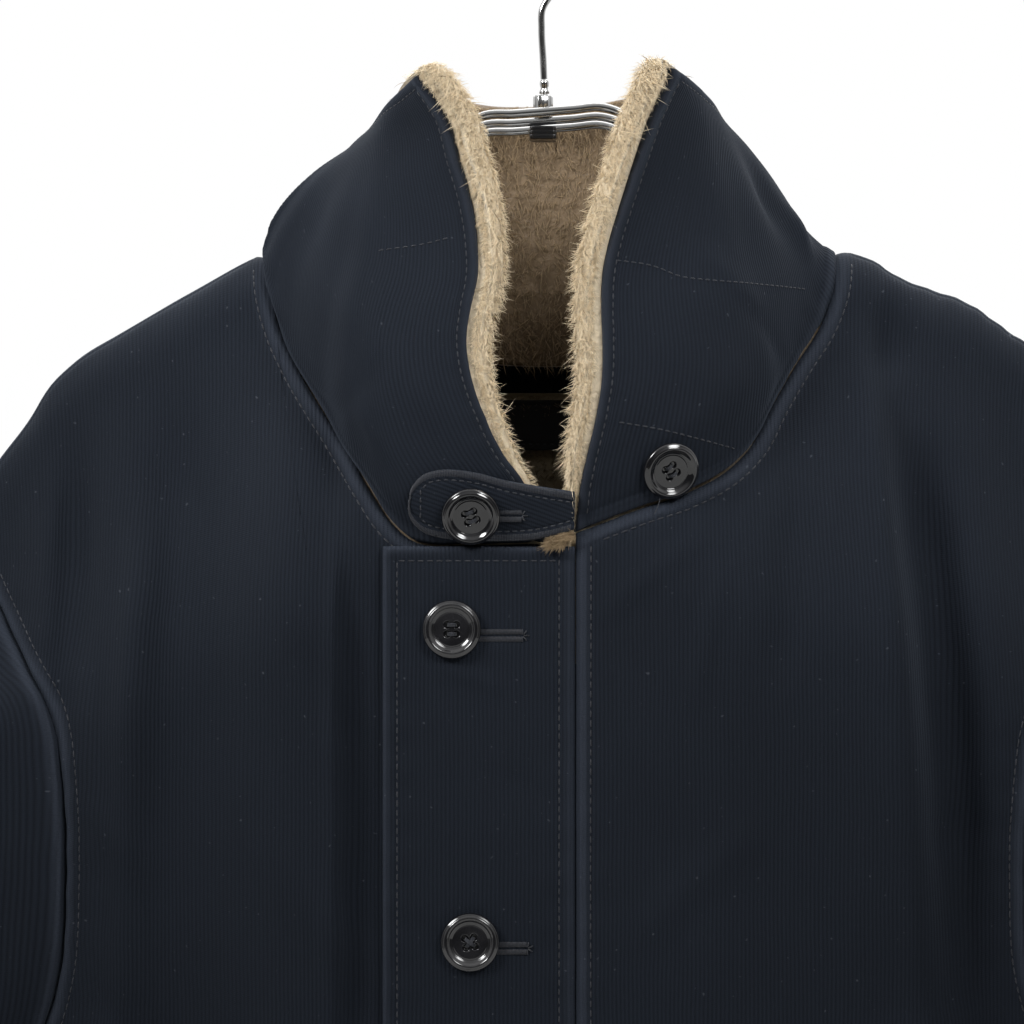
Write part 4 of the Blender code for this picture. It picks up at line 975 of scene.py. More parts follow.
def collar_grid(ring, ring_normals):
    """Outer face of the collar: at each place round the neck a cubic arc from the seam to the top edge."""
    lengths = np.linalg.norm(np.diff(ring, axis=0), axis=1)
    around = np.concatenate([[0], np.cumsum(lengths)]) / lengths.sum()
    sides = around[[NECK_STEPS, NECK_STEPS + BACK_NECK_STEPS]]
    place_round = np.interp(around, [0, sides[0], sides[1], 1], [0, 0.3, 0.7, 1])
    on_top = cubic([0, 0.3, 0.5, 0.7, 1], [0, COLLAR_TOP_SIDES[0], 0.5, COLLAR_TOP_SIDES[1], 1], place_round)
    top = through(np.array(COLLAR_TOP) * MM, on_top)
    out_seam, up_seam, out_top, down_top = (
        cubic([r[0] for r in COLLAR_SECTIONS], column(COLLAR_SECTIONS, k), place_round)[:, None] for k in range(1, 5)
    )
    out = ring * [1, 1, 0]
    out = unit(out / [120 * MM, 75 * MM, 1])
    up = np.array([0.0, 0.0, 1.0])
    start = ring + SEAM_GAP * across(ring, ring_normals, up)
    start[1 : NECK_STEPS + 1] += COLLAR_SEAM_LIFT * unit(ring_normals[1 : NECK_STEPS + 1] * [1, 1, 0])
    pull_low = start + out_seam * out + up_seam * up
    pull_high = top + out_top * unit(top * [1, 1, 0]) - down_top * up
    v = np.linspace(0, 1, COLLAR_STEPS + 1)[None, :, None]
    arcs = (
        (1 - v) ** 3 * start[:, None]
        + 3 * v * (1 - v) ** 2 * pull_low[:, None]
        + 3 * v * v * (1 - v) * pull_high[:, None]
        + v ** 3 * top[:, None]
    )
    height, left, right = (column(COLLAR_FRONT_EDGES, k) for k in range(3))
    for end, edge, near in ((0, left, place_round / 0.17), (-1, right, (1 - place_round) / 0.17)):
        shift = cubic(height, edge, arcs[end, :, 2]) - arcs[end, :, 0]
        shift[0] = 0.0
        arcs[..., 0] += (1 - ease(near))[:, None] * shift[None, :]
    return arcs, place_round


def buckle(grid, place_round, n):
    """Adds the soft buckles of the collar along its normals."""
    v = np.linspace(0, 1, grid.shape[1])[None, :]
    rise = np.zeros(grid.shape[:2])
    for where, share, half_round, half_high, height in COLLAR_BUCKLES:
        bell = ((place_round[:, None] - where) / half_round) ** 2 + ((v - share) / half_high) ** 2
        rise += height * MM * np.exp(-bell)
    rise *= ease(v * 5)
    return grid + n * rise[..., None]


def collar_normals(grid):
    """Outward normals of the collar."""
    n = normals(grid)
    return n * np.sign(n[len(n) // 2, 4, 1])


def collar_face(ring, ring_normals, front):
    """Outer face and normals of the collar, whose low rows on the left stand a little off the front."""
    grid, place_round = collar_grid(ring, ring_normals)
    grid = buckle(grid, place_round, collar_normals(grid))
    low = 6 * MM * ease((grid[..., 1] - 30 * MM) / (25 * MM)) * np.exp(-((grid[..., 0] / (34 * MM)) ** 4))
    grid[..., 2] -= low * np.linspace(0, 1, grid.shape[1]) ** 2
    off = unit(front[1][: NECK_STEPS + 1, -1]) * COLLAR_LIFT
    v = np.linspace(0, 9, grid.shape[1])
    share = np.interp(v, [0, 1, 2, 3, 4, 5], [0, 1.0, 0.9, 0.6, 0.3, 0])
    grid[1 : NECK_STEPS + 1] += off[1:, None] * share[None, :, None]
    return grid, collar_normals(grid)

# Materials

def add_node(tree, kind, inputs=None, **settings):
    """A node with its settings, and its inputs set to a value or joined to another node's output."""
    node = tree.nodes.new("ShaderNode" + kind)
    for key, value in settings.items():
        setattr(node, key, value)
    for key, value in (inputs or {}).items():
        if isinstance(value, bpy.types.NodeSocket):
            tree.links.new(value, node.inputs[key])
        else:
            node.inputs[key].default_value = value
    return node


def maths(tree, operation, first, second=0.5, clamp=False):
    """The output of a Math node."""
    return add_node(tree, "Math", {0: first, 1: second}, operation=operation, use_clamp=clamp).outputs[0]


def blended(tree, share, first, second, blend="MIX"):
    """The output of a colour Mix node."""
    values = {"Factor": share, "A": first, "B": second}
    node = tree.nodes.new("ShaderNodeMix")
    node.data_type = "RGBA"
    node.blend_type = blend
    sockets = {"Factor": node.inputs[0], "A": node.inputs[6], "B": node.inputs[7]}
    for key, value in values.items():
        if isinstance(value, bpy.types.NodeSocket):
            tree.links.new(value, sockets[key])
        else:
            sockets[key].default_value = value
    return node.outputs[2]


def effect(name, inputs, outputs):
    """A new shader node group with its named inputs and outputs, and its two end nodes."""
    group = bpy.data.node_groups.new(name, "ShaderNodeTree")
    for key, kind, value in inputs:
        socket = group.interface.new_socket(key, in_out="INPUT", socket_type="NodeSocket" + kind)
        socket.default_value = value
    for key, kind in outputs:
        group.interface.new_socket(key, in_out="OUTPUT", socket_type="NodeSocket" + kind)
    return group, group.nodes.new("NodeGroupInput").outputs, group.nodes.new("NodeGroupOutput")


@functools.cache
def ribbed_cord():
    """Cord cloth from its own UV map: ribs are a sine across the cloth at the rib pitch, which a slow noise
    bends a little, crossed by finer threads and loose lint. Its colour runs from the groove's to the ridge's
    with the rib and thread height: painted shade in the grooves and painted light on the rib tops. Puts out
    colour, height and roughness."""
    group, given, result = effect(
        "ribbed_cord",
        [("Ridge", "Color", (0.03, 0.04, 0.06, 1)), ("Groove", "Color", (0.01, 0.01, 0.02, 1)),
         ("Pitch", "Float", 0.0016), ("Rib Share", "Float", 0.6), ("Fade", "Float", 0.3)],
        [("Color", "Color"), ("Height", "Float"), ("Roughness", "Float")],
    )
    place = add_node(group, "UVMap", uv_map="cloth").outputs[0]
    sway = add_node(group, "TexNoise", {"Vector": place, "Scale": 26.0, "Detail": 2.0}).outputs[0]
    parts = add_node(group, "SeparateXYZ", {0: place})
    bent = maths(group, "ADD", parts.outputs[0], maths(group, "MULTIPLY", sway, 0.0016))
    turns = maths(group, "DIVIDE", bent, given["Pitch"])
    wave = maths(group, "SINE", maths(group, "MULTIPLY", turns, 2 * math.pi))
    rib = maths(group, "MULTIPLY_ADD", wave, 0.5)
    rib.node.inputs[2].default_value = 0.5
    round_rib = maths(group, "POWER", rib, 0.7)
    twist = maths(group, "MULTIPLY", turns, 0.5)
    rows = maths(group, "ADD", maths(group, "DIVIDE", parts.outputs[1], 0.00075), twist)
    thread = maths(group, "SINE", maths(group, "MULTIPLY", rows, 2 * math.pi))
    thread = maths(group, "MULTIPLY_ADD", thread, 0.5)
    thread.node.inputs[2].default_value = 0.5
    lint = add_node(group, "TexNoise", {"Vector": place, "Scale": 1500.0, "Detail": 4.0, "Roughness": 0.7}).outputs[0]
    broad = add_node(group, "TexNoise", {"Vector": place, "Scale": 9.0, "Detail": 3.0, "Roughness": 0.6}).outputs[0]
    slub = add_node(
        group, "TexNoise",
        {"Vector": add_node(group, "Mapping", {"Vector": place, "Scale": (900.0, 30.0, 1.0)}).outputs[0],
         "Scale": 1.0, "Detail": 3.0},
    ).outputs[0]
    height = maths(group, "ADD", maths(group, "MULTIPLY", round_rib, given["Rib Share"]),
                   maths(group, "MULTIPLY", thread, 0.18))
    height = maths(group, "ADD", height, maths(group, "MULTIPLY", lint, 0.30))
    height = maths(group, "ADD", height, maths(group, "MULTIPLY", slub, 0.20))
    # Painted shade and light: lighter on the rib tops and cross threads, darker in the grooves; the slubs add the
    # yarn's own tone.
    lit = maths(group, "ADD", maths(group, "MULTIPLY", round_rib, 0.55), maths(group, "MULTIPLY", slub, 0.25))
    lit = maths(group, "ADD", lit, maths(group, "MULTIPLY", thread, 0.20), clamp=True)
    colour = blended(group, lit, given["Groove"], given["Ridge"])
    patchy = add_node(group, "MapRange", {0: broad, 1: 0.3, 2: 0.7, 3: 0.92, 4: 1.08}).outputs[0]
    grey = add_node(group, "CombineColor", {0: patchy, 1: patchy, 2: patchy}).outputs[0]
    colour = blended(group, 1.0, colour, grey, "MULTIPLY")
    worn = add_node(group, "Attribute", attribute_name="wear").outputs["Fac"]
    rubbed = maths(group, "MULTIPLY", worn, maths(group, "MULTIPLY", given["Fade"], lint, clamp=True))
    colour = blended(group, rubbed, colour, (0.085, 0.10, 0.135, 1))
    speck = add_node(group, "TexNoise", {"Vector": place, "Scale": 420.0, "Detail": 1.0}).outputs[0]
    speck = add_node(group, "MapRange", {0: speck, 1: 0.745, 2: 0.80, 3: 0.0, 4: 0.35}).outputs[0]
    colour = blended(group, speck, colour, (0.10, 0.11, 0.13, 1))
    rough = add_node(group, "MapRange", {0: lint, 1: 0.2, 2: 0.8, 3: 0.78, 4: 0.95}).outputs[0]
    group.links.new(colour, result.inputs["Color"])
    group.links.new(height, result.inputs["Height"])
    group.links.new(rough, result.inputs["Roughness"])
    return group


@functools.cache
def handled():
    """Small unevenness for smooth things, on Object coordinates: fine scratches along one way and a mask of
    dull patches. Puts out roughness and height."""
    group, given, result = effect(
        "handled",
        [("Smooth", "Float", 0.08), ("Dull", "Float", 0.25), ("Scale", "Float", 300.0)],
        [("Roughness", "Float"), ("Height", "Float"), ("Mask", "Float")],
    )
    place = add_node(group, "TexCoord").outputs["Object"]
    stretched = add_node(group, "Mapping", {"Vector": place, "Scale": (1.0, 1.0, 6.0)}).outputs[0]
    scratch = add_node(group, "TexNoise", {"Vector": stretched, "Scale": given["Scale"], "Detail": 6.0,
                                           "Roughness": 0.75}).outputs[0]
    patch = add_node(group, "TexNoise", {"Vector": place, "Scale": 60.0, "Detail": 3.0}).outputs[0]
    mask = add_node(group, "MapRange", {0: patch, 1: 0.42, 2: 0.66}).outputs[0]
    share = maths(group, "MULTIPLY", mask, scratch)
    rough = add_node(group, "MapRange", {0: share, 1: 0.0, 2: 0.6, 3: given["Smooth"], 4: given["Dull"]}).outputs[0]
    group.links.new(rough, result.inputs["Roughness"])
    group.links.new(scratch, result.inputs["Height"])
    group.links.new(mask, result.inputs["Mask"])
    return group


def rgba(colour):
    """A colour with full cover."""
    return (*colour, 1.0)


def new_material(name, colour, **constants):
    """A material with its Principled shader; the constants go straight on the shader's own sockets."""
    material = bpy.data.materials.new(name)
    material.use_nodes = True
    material.diffuse_color = rgba(colour)
    shader = material.node_tree.nodes["Principled BSDF"]
    for key, value in constants.items():
        shader.inputs[key.replace("_", " ")].default_value = value
    return material, material.node_tree, shader


def bumped(tree, shader, height, strength, distance):
    """Joins a height to the shader's normal through a Bump node."""
    bump = add_node(tree, "Bump", {"Height": height, "Strength": strength, "Distance": distance})
    tree.links.new(bump.outputs[0], shader.inputs["Normal"])


def cord_material(name, sizes, colours, pitch, rib_share=0.6, fade=1.0, shade=1.0):
    """Ribbed navy cloth with a soft fuzz that catches light at the rim. A shade below 1 darkens both colours as painted
    shade.
    """
    ridge = [c * shade for c in colours.cord_ridge]
    # The groove colour is painted shade between the ribs.
    groove = [c * shade for c in colours.cord_groove_shade]
    material, tree, shader = new_material(
        name, ridge, Specular_IOR_Level=0.12, Sheen_Weight=0.07, Sheen_Roughness=0.4,
        Sheen_Tint=(0.55, 0.66, 0.85, 1.0),
    )
    cord = add_node(tree, "Group", node_tree=ribbed_cord(), inputs=None)
    for key, value in (("Ridge", rgba(ridge)), ("Groove", rgba(groove)), ("Pitch", pitch),
                       ("Rib Share", rib_share), ("Fade", fade)):
        cord.inputs[key].default_value = value
    tree.links.new(cord.outputs["Color"], shader.inputs["Base Color"])
    tree.links.new(cord.outputs["Roughness"], shader.inputs["Roughness"])
    bumped(tree, shader, cord.outputs["Height"], 0.75, 0.35 * MM)
    return material


def fur_material(name, tip, root, deep):
    """Fur: each strand runs from the root's darker colour to the tip's, painted shade near the ground, with a tone of
    its own.
    """
    material, tree, shader = new_material(
        name, tip, Roughness=0.75, Specular_IOR_Level=0.2, Sheen_Weight=0.2, Sheen_Roughness=0.5,
        Sheen_Tint=(1.0, 0.86, 0.66, 1.0),
    )
    along = add_node(tree, "Attribute", attribute_name="along").outputs["Fac"]
    tone = add_node(tree, "Attribute", attribute_name="tone").outputs["Fac"]
    place = add_node(tree, "TexCoord").outputs["Object"]
    patch = add_node(tree, "TexNoise", {"Vector": place, "Scale": 55.0, "Detail": 3.0}).outputs[0]
    mottled = maths(tree, "ADD", tone, maths(tree, "MULTIPLY", maths(tree, "SUBTRACT", patch, 0.5), 0.9), clamp=True)
    # Darker towards the root: painted shade among the strands.
    lit = maths(tree, "MULTIPLY", maths(tree, "POWER", along, 0.6), 1.0, clamp=True)
    light = blended(tree, mottled, rgba(deep), rgba(tip))
    colour = blended(tree, lit, rgba(root), light)
    tree.links.new(colour, shader.inputs["Base Color"])
    return material


def felt_material(name, light, dark, rim):
    """The matted ground of the fur: darker between the strands and inside the collar, both painted shade, and lighter
    towards the front rims.
    """
    material, tree, shader = new_material(name, light, Roughness=0.95, Specular_IOR_Level=0.15,
                                          Sheen_Weight=0.3, Sheen_Roughness=0.6)
    place = add_node(tree, "TexCoord").outputs["Object"]
    curl = add_node(tree, "TexNoise", {"Vector": place, "Scale": 420.0, "Detail": 5.0, "Distortion": 1.2}).outputs[0]
    lock = add_node(tree, "TexVoronoi", {"Vector": place, "Scale": 330.0}).outputs["Distance"]
    # Painted shade: mix is low between the locks, where the ground takes its darker colour.
    mix = maths(tree, "MULTIPLY", curl, maths(tree, "SUBTRACT", 1.25, lock), clamp=True)
    near = add_node(tree, "Attribute", attribute_name="rim").outputs["Fac"]
    pale = blended(tree, mix, rgba([c * 0.62 for c in rim]), rgba([c * 0.9 for c in rim]))
    # Away from the rims the ground takes the inner colours: painted shade inside the collar.
    colour = blended(tree, near, blended(tree, mix, rgba(dark), rgba(light)), pale)
    tree.links.new(colour, shader.inputs["Base Color"])
    bumped(tree, shader, mix, 1.0, 1.2 * MM)
    return material


def thread_material(name, light, dark):
    """Sewing thread: a two-ply twist that runs round it, on Object coordinates, darker in the twist's grooves as
    painted shade.
    """
    material, tree, shader = new_material(name, light, Roughness=0.6, Sheen_Weight=0.2)
    place = add_node(tree, "TexCoord").outputs["Object"]
    slanted = add_node(tree, "Mapping", {"Vector": place, "Rotation": (0.6, 0.5, 0.7)}).outputs[0]
    twist = add_node(tree, "TexWave", {"Vector": slanted, "Scale": 900.0, "Distortion": 0.6}).outputs[0]
    # Darker in the grooves of the twist: painted shade.
    tree.links.new(blended(tree, twist, rgba(dark), rgba(light)), shader.inputs["Base Color"])
    bumped(tree, shader, twist, 0.5, 0.1 * MM)
    return material


def woven_material(name, light, dark, pitch, roughness=0.85):
    """Plain weave from the cloth's own UV map: two sets of threads, each a sine that dips where the other one
    rises. The colour is darker where the threads dip, painted shade, and fine noise adds the yarn's own tone."""
    material, tree, shader = new_material(name, light, Roughness=roughness, Specular_IOR_Level=0.25,
                                          Sheen_Weight=0.15)
    place = add_node(tree, "UVMap", uv_map="cloth").outputs[0]
    parts = add_node(tree, "SeparateXYZ", {0: place})
    over = [maths(tree, "SINE", maths(tree, "MULTIPLY", parts.outputs[k], 2 * math.pi / pitch)) for k in (0, 1)]
    cross = maths(tree, "MULTIPLY", over[0], over[1])
    noise = add_node(tree, "TexNoise", {"Vector": place, "Scale": 1200.0, "Detail": 4.0}).outputs[0]
    height = maths(tree, "ADD", maths(tree, "MULTIPLY", cross, 0.35), noise)
    # Painted shade in the dips of the weave, with the noise's tone of the yarn.
    tree.links.new(blended(tree, maths(tree, "MULTIPLY", height, 0.9, clamp=True), rgba(dark), rgba(light)),
                   shader.inputs["Base Color"])
    rough = add_node(tree, "MapRange", {0: noise, 3: roughness - 0.1, 4: roughness + 0.08}).outputs[0]
    tree.links.new(rough, shader.inputs["Roughness"])
    bumped(tree, shader, height, 0.5, 0.2 * MM)
    return material


def smooth_material(name, light, dark, smooth, dull, scale, bump=0.05, **constants):
    """A hard smooth finish: two close colours by the dull patches, with fine scratches in the roughness."""
    material, tree, shader = new_material(name, light, **constants)
    used = add_node(tree, "Group", node_tree=handled())
    for key, value in (("Smooth", smooth), ("Dull", dull), ("Scale", scale)):
        used.inputs[key].default_value = value
    tree.links.new(blended(tree, used.outputs["Mask"], rgba(light), rgba(dark)), shader.inputs["Base Color"])
    tree.links.new(used.outputs["Roughness"], shader.inputs["Roughness"])
    bumped(tree, shader, used.outputs["Height"], bump, 0.1 * MM)
    return material


@functools.cache
def finish(name):
    """A material of the jacket by its finish, made the first time it is asked for."""
    scene = bpy.context.scene
    sizes, colours = scene.jacket_sizes, scene.jacket_colours
    if name == "navy_cord":
        return cord_material("navy_cord", sizes, colours, sizes.rib_pitch)
    # The tab's cord, darker by 0.9: painted shade.
    if name == "navy_cord_shaded_tab":
        return cord_material("navy_cord_shaded_tab", sizes, colours, sizes.rib_pitch, 0.45, 0.6, 0.9)
    if name == "navy_thread":
        return thread_material("navy_thread", colours.thread, [c * 0.35 for c in colours.thread])
    # Inside the collar the pile is the rims' pile in painted shade.
    if name == "beige_fur_in_shade":
        return fur_material("beige_fur_in_shade", colours.fur_tip_in_shade, colours.fur_root_in_shade, colours.fur_deep_in_shade)
    if name == "cream_fur":
        return fur_material("cream_fur", colours.rim_tip, [c * 0.80 for c in colours.rim_tip],
                            [c * 0.82 for c in colours.rim_tip])
    # The ground's inner colours are the darker fur root's: painted shade.
    if name == "beige_felt":
        return felt_material("beige_felt", colours.fur_root_in_shade, [c * 0.6 for c in colours.fur_root_in_shade], colours.rim_tip)
    # The lining's pile: the inner fur colours at a half and less, painted shade inside the back.
    if name == "brown_fur_in_deep_shade":
        return fur_material("brown_fur_in_deep_shade", [c * 0.5 for c in colours.fur_deep_in_shade], [c * 0.3 for c in colours.fur_root_in_shade],
                            [c * 0.3 for c in colours.fur_deep_in_shade])
    if name == "brown_lining":
        return woven_material("brown_lining", colours.lining, [c * 0.45 for c in colours.lining], 0.9 * MM)
    if name == "black_patch":
        return woven_material("black_patch", (0.013, 0.013, 0.015), (0.004, 0.004, 0.005), 0.7 * MM, 0.7)
    if name == "black_button":
        return smooth_material("black_button", colours.button, (0.012, 0.012, 0.014), 0.06, 0.28, 700.0, 0.04,
                               Coat_Weight=0.6, Coat_Roughness=0.05, IOR=1.54)
    if name == "chrome_wire":
        return smooth_material("chrome_wire", colours.chrome, [c * 0.8 for c in colours.chrome], 0.07, 0.22, 500.0,
                               0.03, Metallic=1.0)
    if name == "black_bracket":
        return smooth_material("black_bracket", (0.012, 0.012, 0.013), (0.02, 0.02, 0.022), 0.25, 0.5, 400.0, 0.1)
    raise RuntimeError(f"there is no finish named {name}")

# Shapes that more than one piece needs

@functools.cache
def jacket_shape():
    """The fronts, the back and the collar as grids with their outward normals, from the tables above."""
    fronts, back = body_panels()
    collar, collar_out = collar_face(*neck_ring(fronts, back), fronts[-1])
    return fronts, back, collar, collar_out


@functools.cache
def arc_table(front):
    """Run along the cloth from the middle to each place across and height: the integral of the root of
    1 + slope squared over the unfolded body, on a table of 2 mm by 8 mm steps."""
    x = np.arange(0, 252, 2) * MM
    z = np.arange(-890, -100, 8) * MM
    gx, gz = np.meshgrid(x, z, indexing="ij")
    below = np.maximum(shoulder_line(gx) - gz, 0.0)
    full, run = (FRONT_DEPTH, FRONT_RUN) if front else (BACK_DEPTH, BACK_RUN)
    depth = CREST_HALF + (full - CREST_HALF) * ease(below / run)
    side = np.sqrt(np.maximum(1.0 - np.minimum(gx / half_width(gz), 1.0) ** SIDE_ROUNDNESS, 0.0))
    steps = np.sqrt(np.diff(x)[:, None] ** 2 + np.diff(depth * side, axis=0) ** 2)
    run_along = np.concatenate([np.zeros((1, len(z))), np.cumsum(steps, axis=0)])
    return x, z, run_along


def body_uv(grid, front):
    """Place on the flat cloth of each point, in metres: the run from the middle, by two-way interpolation
    in the arc table, and the height."""
    x, z, table = arc_table(front)
    i = np.clip(np.abs(grid[..., 0]) / (x[1] - x[0]), 0, len(x) - 1.001)
    j = np.clip((grid[..., 2] - z[0]) / (z[1] - z[0]), 0, len(z) - 1.001)
    a, b = i.astype(int), j.astype(int)
    f, g = i - a, j - b
    run = ((1 - f) * (1 - g) * table[a, b] + f * (1 - g) * table[a + 1, b]
           + (1 - f) * g * table[a, b + 1] + f * g * table[a + 1, b + 1])
    return np.stack([np.sign(grid[..., 0]) * run, grid[..., 2]], axis=-1)


def line_uv(grid, girth=None):
    """Place on the flat cloth of a band: the first axis at its mean length, or at the girth, and the run
    along the second axis."""
    rows = grid.shape[0]
    if girth is None:
        girth = np.linalg.norm(np.diff(grid, axis=0), axis=2).sum(axis=0).mean()
    steps = np.linalg.norm(np.diff(grid, axis=1), axis=2)
    run = np.concatenate([np.zeros((rows, 1)), np.cumsum(steps, axis=1)], axis=1)
    along = np.broadcast_to(np.linspace(0, girth, rows)[:, None], run.shape)
    return np.stack([along, run], axis=-1)


def depth_normals(grid, front):
    """Outward normals of a body panel from the slopes of its depth, by central differences of 0.4 mm."""
    x, z = grid[..., 0], grid[..., 2]
    depth = front_depth if front else functools.partial(body_depth, front=False)
    h = 0.2 * MM
    slope_x = (depth(x + h, z) - depth(x - h, z)) / (2 * h)
    slope_z = (depth(x, z + h) - depth(x, z - h)) / (2 * h)
    out = np.stack([-slope_x, np.ones_like(x), -slope_z], axis=-1)
    return unit(-out if front else out)


@functools.cache
def panel(which):
    """One body panel at full detail: outer grid, normals, UV, wear, and its distances from the edges. The
    rises of seams, hem, puckers, short creases and the unevenness of worn cloth are added along normals."""
    fronts, back, _, _ = jacket_shape()
    front = which != "back"
    grid = {"left": fronts[-1], "right": fronts[1], "back": back}[which][0]
    near = SEWN_EDGE if which != "left" else (0,)
    grid = respaced(grid, TURNED_EDGE, SEWN_EDGE, 150)
    grid = turned(respaced(turned(grid), near, SEWN_EDGE, 104 if front else 190))
    n = depth_normals(grid, front)
    uv = body_uv(grid, front)
    x, z = grid[..., 0], grid[..., 2]
    first, last, hem, _ = from_edges(grid)
    last = nearest(grid, grid[-1])
    top = nearest(grid, grid[:, -1])
    if which == "back":
        first = nearest(grid, grid[0])
    side_rise, side_line = 0.5 * MM, 0.3 * MM
    above = ease((z - UNDERARM_HEIGHT) / (12 * MM))
    hole = side_rise + 0.1 * MM * above
    rise = sewn(last, hole) + rolled(hem, BODY_WALL, 20 * MM)
    wear = bell(last, 2.6 * MM, 2.2 * MM) * (0.35 + 0.65 * above) + 0.8 * bell(hem, 0, 3 * MM)
    neck_side = ease((np.where(x < 0, 116, 123) * MM - np.abs(x)) / (8 * MM))
    rise += sewn(top, 0.5 * MM)
    wear += bell(top, 3.2 * MM, 2.4 * MM) * (0.5 + 0.5 * neck_side)
    if which == "back":
        rise += sewn(first, hole)
        wear += bell(first, 2.6 * MM, 2.2 * MM)
    if which == "right":
        rise += sewn(first, 0.35 * MM)
        wear += bell(first, 2.6 * MM, 2.2 * MM)
        rise += puckers(z, first - 5 * MM, 21 * MM, 0.28 * MM, 9 * MM)
    away = ease((last - 8 * MM) / (16 * MM)) * ease((top - 8 * MM) / (16 * MM)) * ease(hem / (20 * MM))
    rise += creased(x, z, FRONT_CREASES if front else BACK_CREASES) * away
    rise += puckers(z, last - 6.2 * MM, 17 * MM, 0.30 * MM, 12 * MM)
    rise += puckers(x, hem - 20 * MM, 24 * MM, 0.35 * MM, 14 * MM)
    rise += puckers(x - z, top - 6.2 * MM, 15 * MM, 0.28 * MM, 10 * MM)
    rise += 0.55 * MM * uneven(grid, SEED + len(which), 62 * MM) * away
    outer = grid + n * rise[..., None]
    return outer, n, uv, np.clip(wear, 0, 1)


def build_body():
    """Back and fronts as cloth walls."""
    for name, which in (("back", "back"), ("front_left", "left"), ("front_right", "right")):
        outer, n, uv, wear = panel(which)
        inner = outer - n * BODY_WALL
        limit, stop = (np.maximum, SEAM_GAP / 2) if which == "back" else (np.minimum, -SEAM_GAP / 2)
        inner[..., 1] = limit(inner[..., 1], stop)
        piece = cloth_piece("jacket_" + name, outer, inner, n, uv, wear, finish("navy_cord"),
                            replaces=name)


@functools.cache
def sleeve_surface(side):
    """One sleeve at full detail, each ring from the top round the front and back: outer grid, normals, UV
    and wear. The head swells over the seam and the cuff is turned and stitched 20 mm up."""
    fronts, back, _, _ = jacket_shape()
    grid = sleeve_grid(side, fronts[side], back)
    grid = respaced(grid, SEWN_EDGE, TURNED_EDGE, 170)
    n = normals(grid, wrap=True)
    centre = grid.mean(axis=0)[None]
    n *= np.sign(((grid - centre) * n).sum())
    rows = np.linalg.norm(np.diff(grid, axis=1), axis=2)
    run = np.concatenate([np.zeros((len(grid), 1)), np.cumsum(rows, axis=1)], axis=1)
    total = run[:, -1:]
    cuff = total - run
    rise = -0.5 * MM * np.exp(-run / (0.6 * MM)) + 0.7 * MM * ease(run / (2 * MM)) * ease((11 * MM - run) / (7 * MM))
    rise += rolled(cuff, BODY_WALL, 20 * MM)
    turn = np.linspace(0, 2 * math.pi, len(grid), endpoint=False)[:, None]
    rise += puckers(turn * 75 * MM, run - 4 * MM, 13 * MM, 0.45 * MM, 9 * MM)
    rise += puckers(turn * 60 * MM, cuff - 20 * MM, 19 * MM, 0.35 * MM, 12 * MM)
    rise += 0.8 * MM * uneven(grid, SEED + side, 48 * MM) * ease(run / (25 * MM)) * ease(cuff / (25 * MM))
    wear = bell(run, 2.5 * MM, 2.5 * MM) + bell(cuff, 0, 4 * MM)
    outer = tucked(grid + n * rise[..., None], n, 3.0 * MM, 0.9 * MM)
    n, wear = doubled(n), doubled(wear)
    return outer, n, arm_uv(outer, side), np.clip(wear, 0, 1)


def tucked(outer, n, reach, sink):
    """The grid with one more column before its first: carried on past the seam and sunk behind it, so that
    nothing shows through the seam."""
    before = outer[:, :1] + unit(outer[:, :1] - outer[:, 2:3]) * reach - n[:, :1] * sink
    return np.concatenate([before, outer], axis=1)


def doubled(values):
    """Values of a grid with the first column used twice."""
    return np.concatenate([values[:, :1], values], axis=1)


def arm_uv(outer, side):
    """Place on the sleeve's flat cloth: the angle about the arm's sloping middle line times its mean radius,
    and the height, with the first row once more at the end."""
    closed = np.concatenate([outer, outer[:1]])
    middle = (293 + (-510 - closed[..., 2] / MM) * 0.0909) * MM
    angle = np.arctan2(-closed[..., 1], side * closed[..., 0] - middle)
    return np.stack([angle * SLEEVE_RADIUS, closed[..., 2]], axis=-1)


def build_sleeves():
    """Both sleeves as closed tubes of cloth."""
    for side, name in ((-1, "sleeve_left"), (1, "sleeve_right")):
        outer, n, uv, wear = sleeve_surface(side)
        piece = cloth_piece("jacket_" + name, outer, outer - n * BODY_WALL, n, uv, wear,
                            finish("navy_cord"), wrap=True, replaces=name)


@functools.cache
def collar_surface():
    """The collar at full detail: outer grid, normals, UV, wear and distances from its edges."""
    _, _, collar, out = jacket_shape()
    grid = respaced(collar, SEWN_EDGE, TURNED_EDGE, 64)
    grid = turned(respaced(turned(grid), TURNED_EDGE, TURNED_EDGE, 210))
    n = collar_normals(grid)
    uv = line_uv(grid)
    first, last, seam, top = from_edges(grid)
    edge = np.minimum(first, last)
    x, z = grid[..., 0], grid[..., 2]
    rise = sewn(seam, 0.5 * MM) + rolled(edge, COLLAR_WALL) + rolled(top, COLLAR_WALL)
    rise += puckers(z, edge - 4 * MM, 11 * MM, 0.22 * MM, 7 * MM) + puckers(x, top - 4 * MM, 13 * MM, 0.25 * MM, 7 * MM)
    rise += puckers(x + z, seam - 5 * MM, 14 * MM, 0.35 * MM, 10 * MM)
    away = ease((edge - 6 * MM) / (14 * MM)) * ease((top - 6 * MM) / (12 * MM)) * ease((seam - 4 * MM) / (12 * MM))
    rise += 0.9 * MM * uneven(grid, SEED + 5, 34 * MM) * away
    rise += creased(x, z, COLLAR_CREASES) * away * (grid[..., 1] < 0)
    wear = 0.8 * bell(edge, 0.3 * MM, 1.8 * MM) + 0.9 * bell(top, 0.3 * MM, 2 * MM) + 0.5 * bell(seam, 2.5 * MM, 2 * MM)
    outer = tucked(grid + n * rise[..., None], n, 3.0 * MM, 0.9 * MM)
    return outer, doubled(n), doubled(uv), doubled(np.clip(wear, 0, 1))


